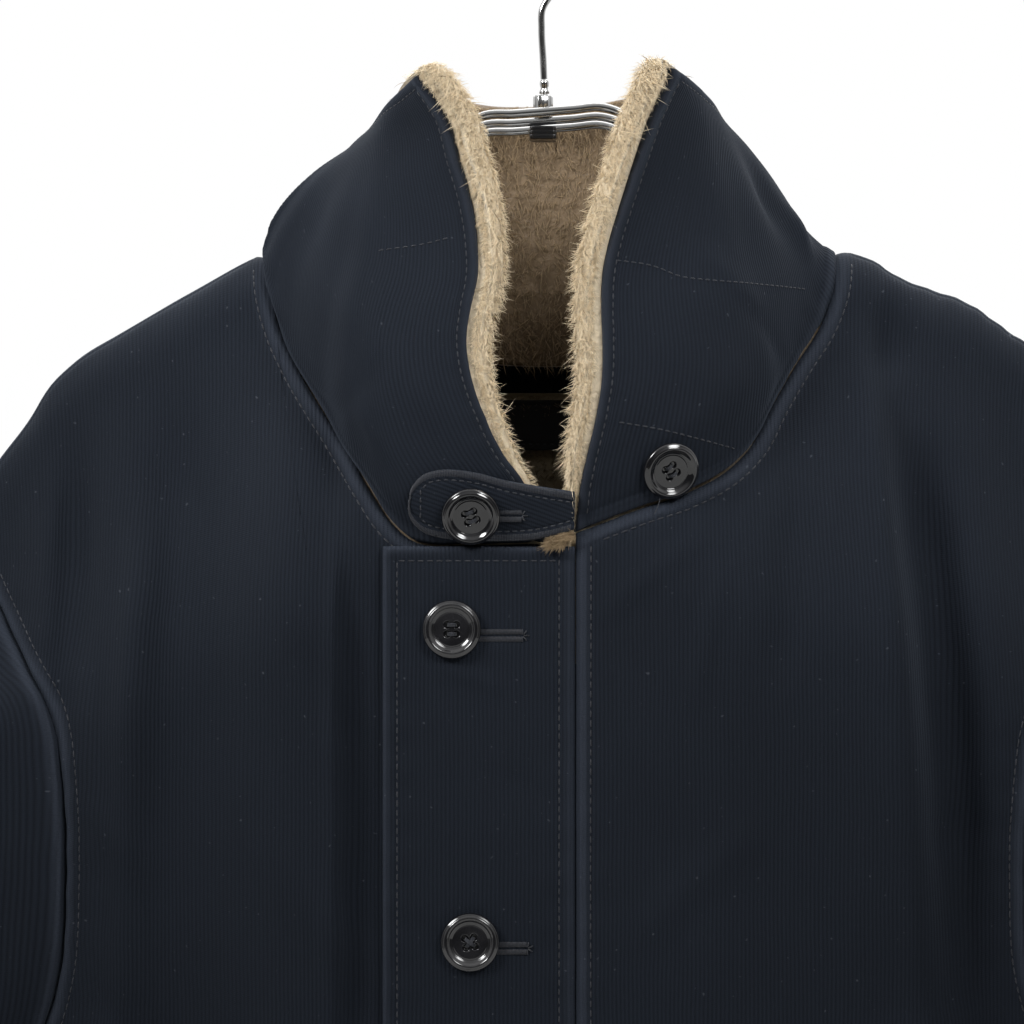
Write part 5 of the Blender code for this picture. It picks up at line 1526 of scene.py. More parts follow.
def build_collar():
    """The standing collar of cloth."""
    outer, n, uv, wear = collar_surface()
    piece = cloth_piece("jacket_collar_shell", outer, outer - n * COLLAR_WALL, n, uv, wear,
                        finish("navy_cord"), replaces="collar_shell")


@functools.cache
def placket_surface():
    """The placket at full detail: it lies flat across, with turned edges, and rises a little where the
    buttons pull it between them."""
    x = np.linspace(PLACKET_LEFT, PLACKET_RIGHT, 60)[:, None]
    z = np.linspace(HEM_HEIGHT, PLACKET_TOP, 200)[None, :]
    x, z = np.broadcast_arrays(x, z)
    grid = np.stack([x, placket_depth(x, z), z], axis=-1)
    grid = respaced(grid, TURNED_EDGE, TURNED_EDGE, 230)
    grid = turned(respaced(turned(grid), TURNED_EDGE, SEWN_EDGE, 44))
    n = np.broadcast_to([0.0, -1.0, 0.0], grid.shape)
    first, last, hem, top = from_edges(grid)
    x, z = grid[..., 0], grid[..., 2]
    rise = rolled(first, PLACKET_WALL, 5.4 * MM) + rolled(hem, PLACKET_WALL, 20 * MM) + rolled(top, PLACKET_WALL, 5.4 * MM)
    rise += sewn(last, 0.25 * MM)
    rise += puckers(z, first - 6 * MM, 17 * MM, 0.22 * MM, 8 * MM) + puckers(z, last - 6 * MM, 19 * MM, 0.22 * MM, 8 * MM)
    away = ease((first - 6 * MM) / (10 * MM)) * ease((last - 6 * MM) / (10 * MM)) * ease((top - 6 * MM) / (10 * MM))
    rise += 0.35 * MM * uneven(grid, SEED + 9, 40 * MM) * away
    rise += creased(x, z, PLACKET_CREASES) * away
    wear = bell(first, 0.3 * MM, 1.8 * MM) + bell(top, 0.3 * MM, 1.8 * MM) + 0.5 * bell(last, 2 * MM, 2 * MM)
    uv = np.stack([x, z], axis=-1)
    return grid + n * rise[..., None], n, uv, np.clip(wear, 0, 1)


@functools.cache
def tab_surface():
    """The chin tab at full detail, on the same few rays as the CAD solid: it lies on the left collar and
    runs straight to the right one."""
    _, _, collar, _ = jacket_shape()
    tree = ray_tree(collar)
    x, high, low = (column(TAB_OUTLINE, k) for k in range(3))
    share = np.linspace(0, 1, 6)[None, :]
    z = low[:, None] + (high - low)[:, None] * share
    left_end, right_end = -14 * MM, 20 * MM
    left = [[seen_at(tree, min(a, left_end), max(b, -262 * MM))[0][1] for b in row] for a, row in zip(x, z)]
    right = [seen_at(tree, right_end, max(b, -250 * MM))[0][1] for b in z.ravel()]
    left, right = np.array(left), np.array(right).reshape(z.shape)
    y = left + (right - left) * np.clip((x[:, None] - left_end) / (right_end - left_end), 0, 1)
    coarse = np.stack([np.broadcast_to(x[:, None], z.shape), y, z], axis=-1)
    place = np.linspace(0, 1, 90) ** 1.25 * (len(x) - 1)
    fine = cubic(np.arange(len(x)), coarse.reshape(len(x), -1), place).reshape(len(place), 6, 3)
    fine = turned(fine)
    fine = turned(cubic(np.arange(6), fine.reshape(6, -1), np.linspace(0, 5, 40)).reshape(40, len(place), 3))
    grid = respaced(fine, TURNED_EDGE[:8], TURNED_EDGE[:8], 22)
    n = normals(grid)
    n *= -np.sign(n[30, 15, 1])
    outer = grid + n * (TAB_WALL + TAB_CLEAR)
    first, last, low, high = from_edges(outer)
    edge = np.minimum(np.minimum(low, high), first + 1.2 * MM)
    rise = rolled(edge, TAB_WALL) + 0.25 * MM * uneven(grid, SEED + 11, 20 * MM)
    run = outer[..., 0]
    rise += puckers(run, edge - 4 * MM, 8 * MM, 0.12 * MM, 4 * MM)
    wear = np.clip(bell(edge, 0.4 * MM, 1.6 * MM), 0, 1)
    uv = np.stack([outer[..., 0] * 0.35 + outer[..., 2] * 0.94, outer[..., 2] * -0.35 + outer[..., 0] * 0.94], axis=-1)
    return outer + n * rise[..., None], n, uv, wear


def build_closure():
    """The placket and the chin tab."""
    outer, n, uv, wear = placket_surface()
    piece = cloth_piece("jacket_placket", outer, outer - n * PLACKET_WALL, n, uv, wear,
                        finish("navy_cord"), replaces="placket")
    outer, n, uv, wear = tab_surface()
    piece = cloth_piece("jacket_chin_tab", outer, outer - n * TAB_WALL, n, uv, wear,
                        finish("navy_cord_shaded_tab"), replaces="chin_tab")


# Fur

@functools.cache
def fur_ground():
    """The ground of the collar's fur: the collar's inner side carried past its front and top edges, and an
    inner grid whose distance from it grows as a quarter ellipse from those edges."""
    _, _, collar, _ = jacket_shape()
    n = collar_normals(collar)
    lining = collar - n * (COLLAR_WALL + SEAM_GAP)
    below = lining[:, :1] - unit(lining[:, 2:3] - lining[:, :1]) * [0.4, 0.4, 1.0] * FUR_BELOW_SEAM
    lining = np.concatenate([below, lining[:, 1:]], axis=1)
    rise = ease(np.linspace(0, 4, lining.shape[1]))[None, :, None]
    first = lining[:1] + unit(lining[:1] - lining[1:2]) * PILE_PAST_EDGE * rise
    last = lining[-1:] + unit(lining[-1:] - lining[-2:-1]) * PILE_PAST_EDGE * rise
    lining = np.concatenate([first, lining, last])
    over = lining[:, -1:] + unit(lining[:, -1:] - lining[:, -2:-1]) * PILE_PAST_TOP
    lining = np.concatenate([lining, over], axis=1)
    near = (0, 0.2, 0.6, 1.2, 2.0, 3.0, 4.5, 6.5)
    lining = respaced(lining, (0,), near, 70)
    lining = turned(respaced(turned(lining), near, near, 250))
    out = normals(lining)
    out *= np.sign(out[len(out) // 2, 20, 1])
    first, last, _, top = from_edges(lining)
    d = np.minimum(np.minimum(first, last), top)
    share = np.sqrt(1 - (1 - np.clip(d / (6 * MM), 0, 1)) ** 2)
    lumps = 0.8 * MM * uneven(lining, SEED + 2, 9 * MM) + 0.5 * MM * uneven(lining, SEED + 3, 4.5 * MM)
    thick = 0.4 * MM + (5.2 * MM + lumps) * share
    height, left, right = (column(COLLAR_FRONT_EDGES, k) for k in range(3))
    gap = cubic(height, right - left, lining[..., 2])
    inner = lining - out * thick[..., None]
    for distance, way in ((first, 1.0), (last, -1.0)):
        toward = np.minimum(RIM_REACH, 0.16 * gap) * np.exp(-((distance / (13 * MM)) ** 2)) * (0.25 + 0.75 * share)
        inner[..., 0] += way * toward
        lining[..., 0] += way * 0.35 * toward
    return lining, out, inner, (first, last, top)


def strands(grid, n, weight, count, length, radius, seed, lean, clump=3.2 * MM, hug=0.72, spread=0.35):
    """Fur on a grid of points: places are drawn by cell area times weight. Each strand is a bent cone of
    three rings of three points and a tip; it leaves along the normal, leans along the given direction, and
    its tip gathers towards the jittered centre of its lock. Returns points, faces, along and tone."""
    rng = np.random.default_rng(seed)
    du = grid[1:, :-1] - grid[:-1, :-1]
    dv = grid[:-1, 1:] - grid[:-1, :-1]
    area = np.linalg.norm(np.cross(du, dv), axis=2)
    chance = (area * weight[:-1, :-1]).ravel()
    cell = rng.choice(len(chance), count, p=chance / chance.sum())
    i, j = np.divmod(cell, area.shape[1])
    f, g = rng.random((2, count))[..., None]
    f, g = f.reshape(-1, 1), g.reshape(-1, 1)

    def mixed(a):
        return ((1 - f) * (1 - g) * a[i, j] + f * (1 - g) * a[i + 1, j]
                + (1 - f) * g * a[i, j + 1] + f * g * a[i + 1, j + 1])

    root, face = mixed(grid), unit(mixed(n))
    side = unit(du[i, j] - (du[i, j] * face).sum(1, keepdims=True) * face)
    rise = np.cross(face, side)
    size = mixed(length[..., None])[:, 0] * rng.uniform(0.65, 1.2, count)
    drawn = mixed(lean)
    key = np.floor(root / clump).astype(np.int64)
    lock = (key * [73856093, 19349663, 83492791]).sum(axis=1) % 9973
    jitter = np.random.default_rng(seed + 1).random((9973, 4))
    centre = (key + 0.15 + 0.7 * jitter[lock, :3]) * clump
    toward = centre - root
    toward -= (toward * face).sum(1, keepdims=True) * face
    swirl = (jitter[lock, 3:] - 0.5) * 2
    loose = rng.normal(0, spread, (count, 2))
    tip = (face * (0.34 + 0.25 * jitter[lock, 3:]) + drawn + 0.35 * swirl * side
           + loose[:, :1] * side + loose[:, 1:] * rise) * size[:, None] + toward * hug
    t = np.array([0.0, 0.38, 0.74, 1.0])
    bend = face[:, None] * (size[:, None, None] * 0.55) * (t * (1 - t))[None, :, None]
    path = root[:, None] - face[:, None] * 0.4 * MM + tip[:, None] * t[None, :, None] + bend
    across_path = unit(np.cross(tip, face + 1e-3))
    other = unit(np.cross(tip, across_path))
    angle = np.array([0, 2 * math.pi / 3, 4 * math.pi / 3]) + 0.4
    ring = np.cos(angle)[None, :, None] * across_path[:, None] + np.sin(angle)[None, :, None] * other[:, None]
    wide = radius * np.array([1.0, 0.85, 0.5])
    rings = path[:, :3, None] + ring[:, None] * (wide[None, :, None, None] * rng.uniform(0.7, 1.3, (count, 1, 1, 1)))
    points = np.concatenate([rings.reshape(count, 9, 3), path[:, 3:]], axis=1)
    local = []
    for a in (0, 3):
        for k in range(3):
            m = (k + 1) % 3
            local += [(a + k, a + m, a + 3 + m), (a + k, a + 3 + m, a + 3 + k)]
    local += [(6, 7, 9), (7, 8, 9), (8, 6, 9), (2, 1, 0)]
    local = outwards(points[0] - points[0].mean(axis=0), np.array(local))
    faces = (local[None] + (np.arange(count) * 10)[:, None, None]).reshape(-1, 3)
    along = np.tile(np.repeat([0.0, 0.38, 0.74, 1.0], [3, 3, 3, 1]), count)
    tone = np.repeat(np.clip(0.62 + 0.5 * (jitter[lock, 0] - 0.5) + rng.normal(0, 0.16, count), 0, 1), 10)
    return points.reshape(-1, 3), faces, along, tone


def build_fur():
    """The fur of the collar: its ground, then the strands of the two front rims, of the top edge with the
    inside, and of the small lock that shows under the tab."""
    lining, out, inner, (first, last, top) = fur_ground()
    uv = line_uv(lining)
    points, faces, corners, _ = wall(lining, inner, out, uv)
    # How near each point is to a front rim; away from the rims the ground takes the darker colours, painted shade
    # inside the collar.
    rim = np.tile(np.exp(-np.minimum(first, last) / (22 * MM)).ravel(), 2)
    piece = add_mesh("jacket_fur_ground", points, faces, finish("beige_felt"), corners,
                     {"rim": rim}, ("collar_pile",))
    n = normals(inner)
    n *= -np.sign((n * out).sum())
    down = np.zeros_like(inner)
    down[..., 2] = -0.45
    d = np.minimum(first, last)
    y, z = inner[..., 1], inner[..., 2]
    rim = ease((17 * MM - d) / (4 * MM))
    shown = 0.25 + ease((y + 10 * MM) / (30 * MM)) * ease((z + 215 * MM) / (20 * MM))
    long = (6.2 + 1.6 * ease((z + 110 * MM) / (25 * MM))) * MM + 0 * z
    sizes = bpy.context.scene.jacket_sizes
    long = long * sizes.fur_length / (6.2 * MM) * (1 - 0.4 * ease((z + 85 * MM) / (20 * MM)))
    outward = unit(np.gradient(inner, axis=0))
    for name, distance, way, seed in (("left", first, -1, 1), ("right", last, 1, 2)):
        weight = ease((17 * MM - distance) / (4 * MM)) + 1e-6
        fan = (way * 0.5 * np.exp(-distance / (9 * MM)))[..., None] * outward
        made = strands(inner, n, weight, sizes.rim_strands, long * 0.9, 0.12 * MM, SEED + 40 + seed, down + fan,
                       clump=2.6 * MM, hug=1.0)
        points, faces, along, tone = made
        add_mesh(f"jacket_fur_{name}", points, faces, finish("cream_fur"),
                 attributes={"along": along, "tone": tone})
        weight = ease((4.4 * MM - distance) / (0.8 * MM)) * ease((distance - 1.6 * MM) / (1.2 * MM))
        made = strands(lining, out, weight, sizes.rim_strands // 3, long * 0.5, 0.11 * MM, SEED + 46 + seed,
                       down * 0.9, clump=2.6 * MM, hug=0.6)
        points, faces, along, tone = made
        add_mesh(f"jacket_fur_{name}_edge", points, faces, finish("cream_fur"),
                 attributes={"along": along, "tone": tone})
    weight = (1 - 0.9 * rim) * (shown + 1.4 * ease((10 * MM - top) / (5 * MM)))
    # The strands inside the collar take the darker fur: painted shade.
    points, faces, along, tone = strands(inner, n, weight, sizes.inner_strands, long * 0.9, 0.17 * MM,
                                         SEED + 44, down * 1.8, clump=4.2 * MM, hug=0.9)
    add_mesh("jacket_fur_inside", points, faces, finish("beige_fur_in_shade"),
             attributes={"along": along, "tone": tone})
    build_lock()


def build_lock():
    """The small slanted lock of fur between the tab and the placket: a patch of an ellipse with strands
    that fan out of it and lie over to the left."""
    s = np.linspace(0, 1, 14)[:, None]
    t = np.linspace(0, 1, 8)[None, :]
    x = (2.2 + 9.6 * s) * MM + 0 * t
    z = (-266.0 + 3.4 * s + 4.6 * (t - 0.5) * np.sin(math.pi * np.clip(s, 0.08, 0.92))) * MM
    y = -86.2 * MM + 0.8 * MM * (2 * t - 1) ** 2 + 0 * s
    grid = np.stack(np.broadcast_arrays(x, y, z), axis=-1)
    n = np.broadcast_to([0.0, -1.0, 0.0], grid.shape)
    lean = np.broadcast_to([-0.55, 0.0, -0.30], grid.shape)
    length = np.full(grid.shape[:2], 4.2 * MM)
    points, faces, along, tone = strands(grid, n, np.ones(grid.shape[:2]), 900, length, 0.15 * MM, SEED + 50, lean,
                                         clump=2.6 * MM, spread=0.28)
    # The lock's tones lowered to 0.8: painted shade under the tab.
    add_mesh("jacket_fur_lock", points, faces, finish("beige_fur_in_shade"),
             attributes={"along": along, "tone": tone * 0.8})


def build_lining():
    """The brown lining of the upper back, with a quilting crease and short fur in painted shade, and the plain patch.
    """
    _, back, _, _ = jacket_shape()
    grid, n = back
    inner = grid - n * BODY_WALL
    tree = ray_tree(inner)
    surfaces = {}
    for name, box, size, ahead in (("lining", (-73, 73, -318, -204), (34, 28), 2.2), ):
        x = np.linspace(box[0], box[1], size[0]) * MM
        z = np.linspace(box[2], box[3], size[1]) * MM
        rows = [[seen_at(tree, a, b)[0] for b in z] for a in x]
        surfaces[name] = np.array(rows) - [0, ahead * MM, 0]
    coarse = surfaces["lining"]
    grid = respaced(coarse, (0, 0.6, 1.4, 2.6), (0, 0.6, 1.4, 2.6), 60)
    grid = turned(respaced(turned(grid), (0, 0.6, 1.4, 2.6), (0, 0.6, 1.4, 2.6), 76))
    n = normals(grid)
    n *= np.sign(n[30, 30, 1])
    first, last, low, high = from_edges(grid)
    edge = np.minimum(np.minimum(first, last), np.minimum(low, high))
    z = grid[..., 2]
    thick = (4.2 + 0.7 * uneven(grid, SEED + 21, 26 * MM)) * MM * (0.35 + 0.65 * ease(edge / (3 * MM)))
    thick -= 1.3 * MM * bell(z, -206 * MM, 2.2 * MM) + 1.1 * MM * bell(z, -232 * MM, 2.4 * MM)
    inner = grid - n * np.maximum(thick, 0.8 * MM)[..., None]
    uv = np.stack([grid[..., 0], z], axis=-1)
    wear = np.zeros(grid.shape[:2])
    piece = cloth_piece("jacket_back_lining", grid, inner, n, uv, wear, finish("brown_lining"),
                        replaces="back_lining")
    facing = -n
    down = np.broadcast_to([0.0, 0.0, -0.6], inner.shape)
    length = np.full(inner.shape[:2], 2.6 * MM)
    weight = ease((z + 300 * MM) / (20 * MM)) * ease(edge / (2 * MM)) + 1e-6
    points, faces, along, tone = strands(inner, facing, weight, 6500, length, 0.2 * MM, SEED + 60, down, clump=3.5 * MM)
    add_mesh("jacket_lining_fur", points, faces, finish("brown_fur_in_deep_shade"),
             attributes={"along": along, "tone": tone})
    build_patch(inner)


def build_patch(ground):
    """The plain woven patch on the lining, with turned edges and a row of stitches all round."""
    tree = ray_tree(ground)
    x = np.linspace(-42, 42, 25) * MM
    z = np.linspace(-228, -207, 9) * MM
    face = np.array([[seen_at(tree, a, b)[0][1] for b in z] for a in x])
    smooth = face.mean(axis=1, keepdims=True) + 0 * face
    grid = np.stack(np.broadcast_arrays(x[:, None], smooth - 1.6 * MM, z[None, :]), axis=-1)
    grid = respaced(grid, TURNED_EDGE[:8], TURNED_EDGE[:8], 14)
    grid = turned(respaced(turned(grid), TURNED_EDGE[:8], TURNED_EDGE[:8], 60))
    n = normals(grid)
    n *= -np.sign(n[30, 10, 1])
    first, last, low, high = from_edges(grid)
    edge = np.minimum(np.minimum(first, last), np.minimum(low, high))
    outer = grid + n * (rolled(edge, 1.2 * MM, 2.5 * MM) + 0.2 * MM * uneven(grid, SEED + 31, 16 * MM))[..., None]
    uv = np.stack([grid[..., 0], grid[..., 2]], axis=-1)
    piece = cloth_piece("jacket_neck_patch", outer, outer - n * 1.2 * MM, n, uv, np.zeros(edge.shape),
                        finish("black_patch"), replaces="neck_patch")
    k = 5
    ring = np.concatenate([outer[k:-k, k], outer[-k - 1, k:-k], outer[k:-k, -k - 1][::-1], outer[k, k:-k][::-1]])
    way = np.broadcast_to([0.0, -1.0, 0.0], ring.shape)
    points, faces = dashes(ring, way, 2.2 * MM, 0.8 * MM, 0.22 * MM)
    add_mesh("jacket_patch_stitches", points, faces, finish("navy_thread"))


# Buttons

def button_face(r, angle):
    """Height of a button's face at a radius and an angle: a dished middle, a round raised rim with a fine
    turned line inside it, and four holes with softened lips. All lengths in metres."""
    t = r / BUTTON_RADIUS
    dish = 0.44 + 0.10 * ease(t / 0.55)
    rim = 0.46 * bell(t, 0.83, 0.125)
    turned_line = -0.07 * bell(t, 0.60, 0.022)
    height = (dish + rim + turned_line) * BUTTON_THICKNESS
    for k in range(4):
        a = math.radians(45 + 90 * k)
        off = np.hypot(r * np.cos(angle) - BUTTON_HOLE_OUT * math.cos(a), r * np.sin(angle) - BUTTON_HOLE_OUT * math.sin(a))
        height = height - 0.34 * BUTTON_THICKNESS * ease((1.35 * BUTTON_HOLE_RADIUS - off) / (0.55 * BUTTON_HOLE_RADIUS))
    return height


def button_mesh():
    """A button about the origin, its face to +Z, as rings of points out to a rounded edge and back under."""
    sides = 112
    r = np.concatenate([np.linspace(0.02, 4.3, 34), np.linspace(4.5, 10.4, 26)]) * MM
    angle = np.linspace(0, 2 * math.pi, sides, endpoint=False)
    gr, ga = np.meshgrid(r, angle, indexing="ij")
    face = np.stack([gr * np.cos(ga), gr * np.sin(ga), button_face(gr, ga)], axis=-1)
    top = float(button_face(np.array([10.4 * MM]), np.array([0.3]))[0])
    bend = np.radians([0, 25, 50, 75, 100, 125, 150, 172])
    edge_r = 10.4 * MM + 0.9 * MM * np.sin(bend)
    edge_z = top / 2 + top / 2 * np.cos(bend)
    edge = np.stack([edge_r[1:, None] * np.cos(angle), edge_r[1:, None] * np.sin(angle), edge_z[1:, None] + 0 * angle], axis=-1)
    under = np.stack([3 * MM * np.cos(angle), 3 * MM * np.sin(angle), 0 * angle], axis=-1)[None]
    points, faces = capped(np.concatenate([face, edge, under]))
    return points, outwards(points, faces)


def thread_mesh(parallel):
    """The button's thread: four strands over each pair of holes, as tubes along half ellipses. parallel gives
    two bars; otherwise they cross."""
    parts = []
    reach = BUTTON_HOLE_OUT
    spots = [np.array([math.cos(math.radians(45 + 90 * k)), math.sin(math.radians(45 + 90 * k))]) * reach for k in range(4)]
    pairs = ((0, 1), (3, 2)) if parallel else ((0, 2), (1, 3))
    base = 0.47 * BUTTON_THICKNESS
    for number, (a, b) in enumerate(pairs):
        for strand in range(4):
            shift = (strand - 1.5) * 0.36 * MM
            way = unit(spots[b] - spots[a])
            square = np.array([-way[1], way[0]]) * shift
            t = np.linspace(0, 1, 15)[:, None]
            flat = spots[a] + (spots[b] - spots[a]) * t + square
            rise = base + (0.62 + 0.25 * number * (not parallel)) * MM * np.sin(math.pi * t) ** 0.6 - 1.4 * MM * (1 - np.sin(math.pi * t)) ** 3
            parts.append(tube(np.concatenate([flat, rise], axis=1), 0.2 * MM, 7, up=(0, 0, 1)))
    return joined(parts)


def build_buttons():
    """Every button and its thread, each placed by its CAD node: at the node's middle, facing along the
    direction in which the node is thinnest, and turned as it is."""
    disc, disc_faces = button_mesh()
    rows = [(f"front_button_{k + 1}", 8 * k, k % 2 == 0) for k in range(5)]
    rows += [("tab_button", 20, True), ("collar_button", 35, True)]
    for name, turn, parallel in rows:
        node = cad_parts[name]
        co = np.zeros(len(node.data.vertices) * 3)
        node.data.vertices.foreach_get("co", co)
        co = co.reshape(-1, 3)
        middle = (co.min(axis=0) + co.max(axis=0)) / 2 if name.startswith("front") else co.mean(axis=0)
        facing = np.linalg.svd(co - co.mean(axis=0), full_matrices=False)[2][2]
        facing = facing * (-1 if facing[1] > 0 else 1)
        depth = (co - middle) @ facing
        foot = middle + facing * depth.min()
        across_it = unit(np.cross([0.0, 0.0, 1.0], facing))
        upward = np.cross(facing, across_it)
        a = math.radians(turn)
        first = math.cos(a) * across_it + math.sin(a) * upward
        axes = np.stack([first, np.cross(facing, first), facing])
        button = add_mesh("jacket_" + name, foot + disc @ axes, disc_faces, finish("black_button"),
                          replaces=(name,))
        points, faces = thread_mesh(parallel)
        add_mesh(f"jacket_{name}_thread", foot + points @ axes, outwards(points, faces),
                 finish("navy_thread"))


# Stitching

def panel_seams(which):
    """The sewn edges of a panel as (name, points across and height, side on which the stitches lie)."""
    fronts, back, _, _ = jacket_shape()
    if which == "back":
        grid = back[0]
        return [
            ("armhole_back_right", grid[-1, SIDE_STEPS + 3:-1][:, [0, 2]], 1),
            ("armhole_back_left", grid[0, SIDE_STEPS + 3:-1][:, [0, 2]], -1),
            ("neck_back", grid[SHOULDER_STEPS + 2:-SHOULDER_STEPS - 2, -1][:, [0, 2]], -1),
        ]
    side = -1 if which == "left" else 1
    grid = fronts[side][0]
    return [
        (f"armhole_{which}", grid[-1, SIDE_STEPS + 3:-1][:, [0, 2]], side),
        (f"neck_{which}", grid[2:NECK_STEPS, -1][:, [0, 2]], -side),
    ]


def beside(seam, distance, front):
    """A line at a distance beside a seam, seen from the front or the back: the seam moved square to itself,
    at the depth of the full detail panel there, with that panel's normals."""
    tangent = unit(np.gradient(seam, axis=0))
    moved = seam + np.stack([-tangent[:, 1], tangent[:, 0]], axis=-1) * distance
    moved = through(moved, np.linspace(0, 1, 160))
    which = "back" if not front else ("left" if moved[:, 0].mean() < 0 else "right")
    tree = ray_tree(panel(which)[0])
    found = [seen_at(tree, x, z, -1.0 if front else 1.0) for x, z in moved]
    return np.array([p for p, _ in found]), np.array([n for _, n in found])


def stitch_rows():
    """Every row of stitches as (name, path, outward directions, stitch length). Rows along seams follow the
    groove of the panel's own grid; rows across the collar are traced on it."""
    rows = []
    lift = 0.12 * MM
    for which in ("left", "right", "back"):
        outer, n, _, _ = panel(which)
        lifted = outer + n * lift
        front = which != "back"
        for name, seam, sign in panel_seams(which):
            path, out = beside(seam, sign * 6.2 * MM, front)
            rows.append((name, path + out * lift, out, 3.0))
        hem = np.argmin(np.abs(outer[40, :, 2] - HEM_HEIGHT - 20 * MM))
        rows.append((f"hem_{which}", lifted[:, hem], n[:, hem], 3.2))
        if which == "right":
            rows.append(("front_right", lifted[SEWN_ROW, :-SEWN_ROW - 1], n[SEWN_ROW, :-SEWN_ROW - 1], 3.0))
    for side, which in ((-1, "left"), (1, "right")):
        outer, n, _, _ = sleeve_surface(side)
        lifted = np.concatenate([outer + n * lift, (outer + n * lift)[:1]])
        far = np.linalg.norm(outer - outer[:, -1:], axis=2).mean(axis=0)
        cuff = np.argmin(np.abs(far - 20 * MM))
        around = np.concatenate([n, n[:1]])
        rows.append((f"cuff_{which}", lifted[:, cuff], around[:, cuff], 3.2))
    outer, n, _, _ = collar_surface()
    lifted = outer + n * lift
    k = TURNED_ROW
    stop = -k - 1
    rows.append(("collar_left_edge", lifted[k, 9:stop], n[k, 9:stop], 2.6))
    rows.append(("collar_top", lifted[k:stop, stop], n[k:stop, stop], 2.6))
    rows.append(("collar_right_edge", lifted[stop, 9:stop], n[stop, 9:stop], 2.6))
    tree = ray_tree(outer)
    for name, spots in COLLAR_ROWS:
        path, out = traced(tree, spots, 60)
        rows.append((name, path + out * lift, out, 2.3))
    outer, n, _, _ = placket_surface()
    lifted = outer + n * lift
    side = np.argmin(np.abs(outer[:, 100, 0] - PLACKET_LEFT - 5.4 * MM))
    top = np.argmin(np.abs(outer[20, :, 2] - PLACKET_TOP + 5.4 * MM))
    seam = -SEWN_ROW - 1
    rows.append(("placket_side", lifted[side, 2:top + 1], n[side, 2:top + 1], 2.8))
    rows.append(("placket_top", lifted[side:seam, top], n[side:seam, top], 2.8))
    rows.append(("placket_seam", lifted[seam, 2:-3], n[seam, 2:-3], 2.8))
    outer, n, _, _ = tab_surface()
    lifted = outer + n * lift
    low, high = TURNED_ROW, -TURNED_ROW - 1
    start = np.argmax(outer[:, outer.shape[1] // 2, 0] > -47.6 * MM)
    ring = np.concatenate([lifted[start + 6:-2, low][::-1], lifted[start, low + 2:high - 1], lifted[start + 6:-2, high]])
    out = np.concatenate([n[start + 6:-2, low][::-1], n[start, low + 2:high - 1], n[start + 6:-2, high]])
    rows.append(("tab", ring, out, 2.2))
    return rows


def overcast(path, inward, out, pitch, reach, radius):
    """Close bars over an edge: at each step along the path a stitch from the edge inwards, lying on the
    side that out gives."""
    path = np.asarray(path, float)
    run = np.concatenate([[0], np.cumsum(np.linalg.norm(np.diff(path, axis=0), axis=1))])
    at = np.arange(pitch / 2, run[-1], pitch)
    base, way, face = (np.stack([np.interp(at, run, a[:, k]) for k in range(3)], -1) for a in (path, inward, out))
    way, face = unit(way), unit(face)
    side = np.cross(way, face)
    t = np.array([-0.12, 0.1, 0.5, 0.85, 1.0])
    rise = np.array([-0.6, 0.5, 1.0, 0.6, -0.5]) * radius
    middle = base[:, None] + way[:, None] * (t * reach)[None, :, None] + face[:, None] * rise[None, :, None]
    angle = np.linspace(0, 2 * math.pi, 5, endpoint=False)
    ring = np.cos(angle)[None, :, None] * side[:, None] + np.sin(angle)[None, :, None] * face[:, None]
    thin = np.array([0.5, 1.0, 1.0, 1.0, 0.5]) * radius
    points = middle[:, :, None] + ring[:, None] * thin[None, :, None, None]
    count, rings, sides = points.shape[:3]
    local = np.arange(rings * sides).reshape(rings, sides)
    ahead = np.roll(local, -1, axis=1)
    body = np.stack([local[:-1], ahead[:-1], ahead[1:], local[1:]], -1).reshape(-1, 4)
    body = np.concatenate([body[:, [0, 1, 2]], body[:, [0, 2, 3]]])
    fan = np.array([[0, k, k + 1] for k in range(1, sides - 1)])
    faces = np.concatenate([body, local[0][fan][:, ::-1], local[-1][fan]])
    faces = outwards(points[0].reshape(-1, 3) - points[0].mean(axis=(0, 1)), faces)
    number = np.arange(count)[:, None, None] * rings * sides
    return points.reshape(-1, 3), (faces[None] + number).reshape(-1, 3)


def buttonhole(x1, x2, z, y):
    """A worked buttonhole: close bars square to both sides of a slit and fanned round its far end."""
    half = 0.55 * MM
    s = np.linspace(0, 1, 40)
    low = np.stack([x1 + (x2 - x1) * s, 0 * s + y, 0 * s + z - half], -1)
    high = low + [0, 0, 2 * half]
    bend = np.linspace(-math.pi / 2, math.pi / 2, 14)
    end = np.stack([x2 + half * np.cos(bend), 0 * bend + y, z + half * np.sin(bend)], -1)
    path = np.concatenate([low, end, high[::-1]])
    away = np.concatenate([
        np.broadcast_to([0.0, 0.0, -1.0], low.shape),
        np.stack([np.cos(bend), 0 * bend, np.sin(bend)], -1),
        np.broadcast_to([0.0, 0.0, 1.0], high.shape),
    ])
    out = np.broadcast_to([0.0, -1.0, 0.0], path.shape)
    return overcast(path, away, out, 0.52 * MM, 1.9 * MM, 0.27 * MM)


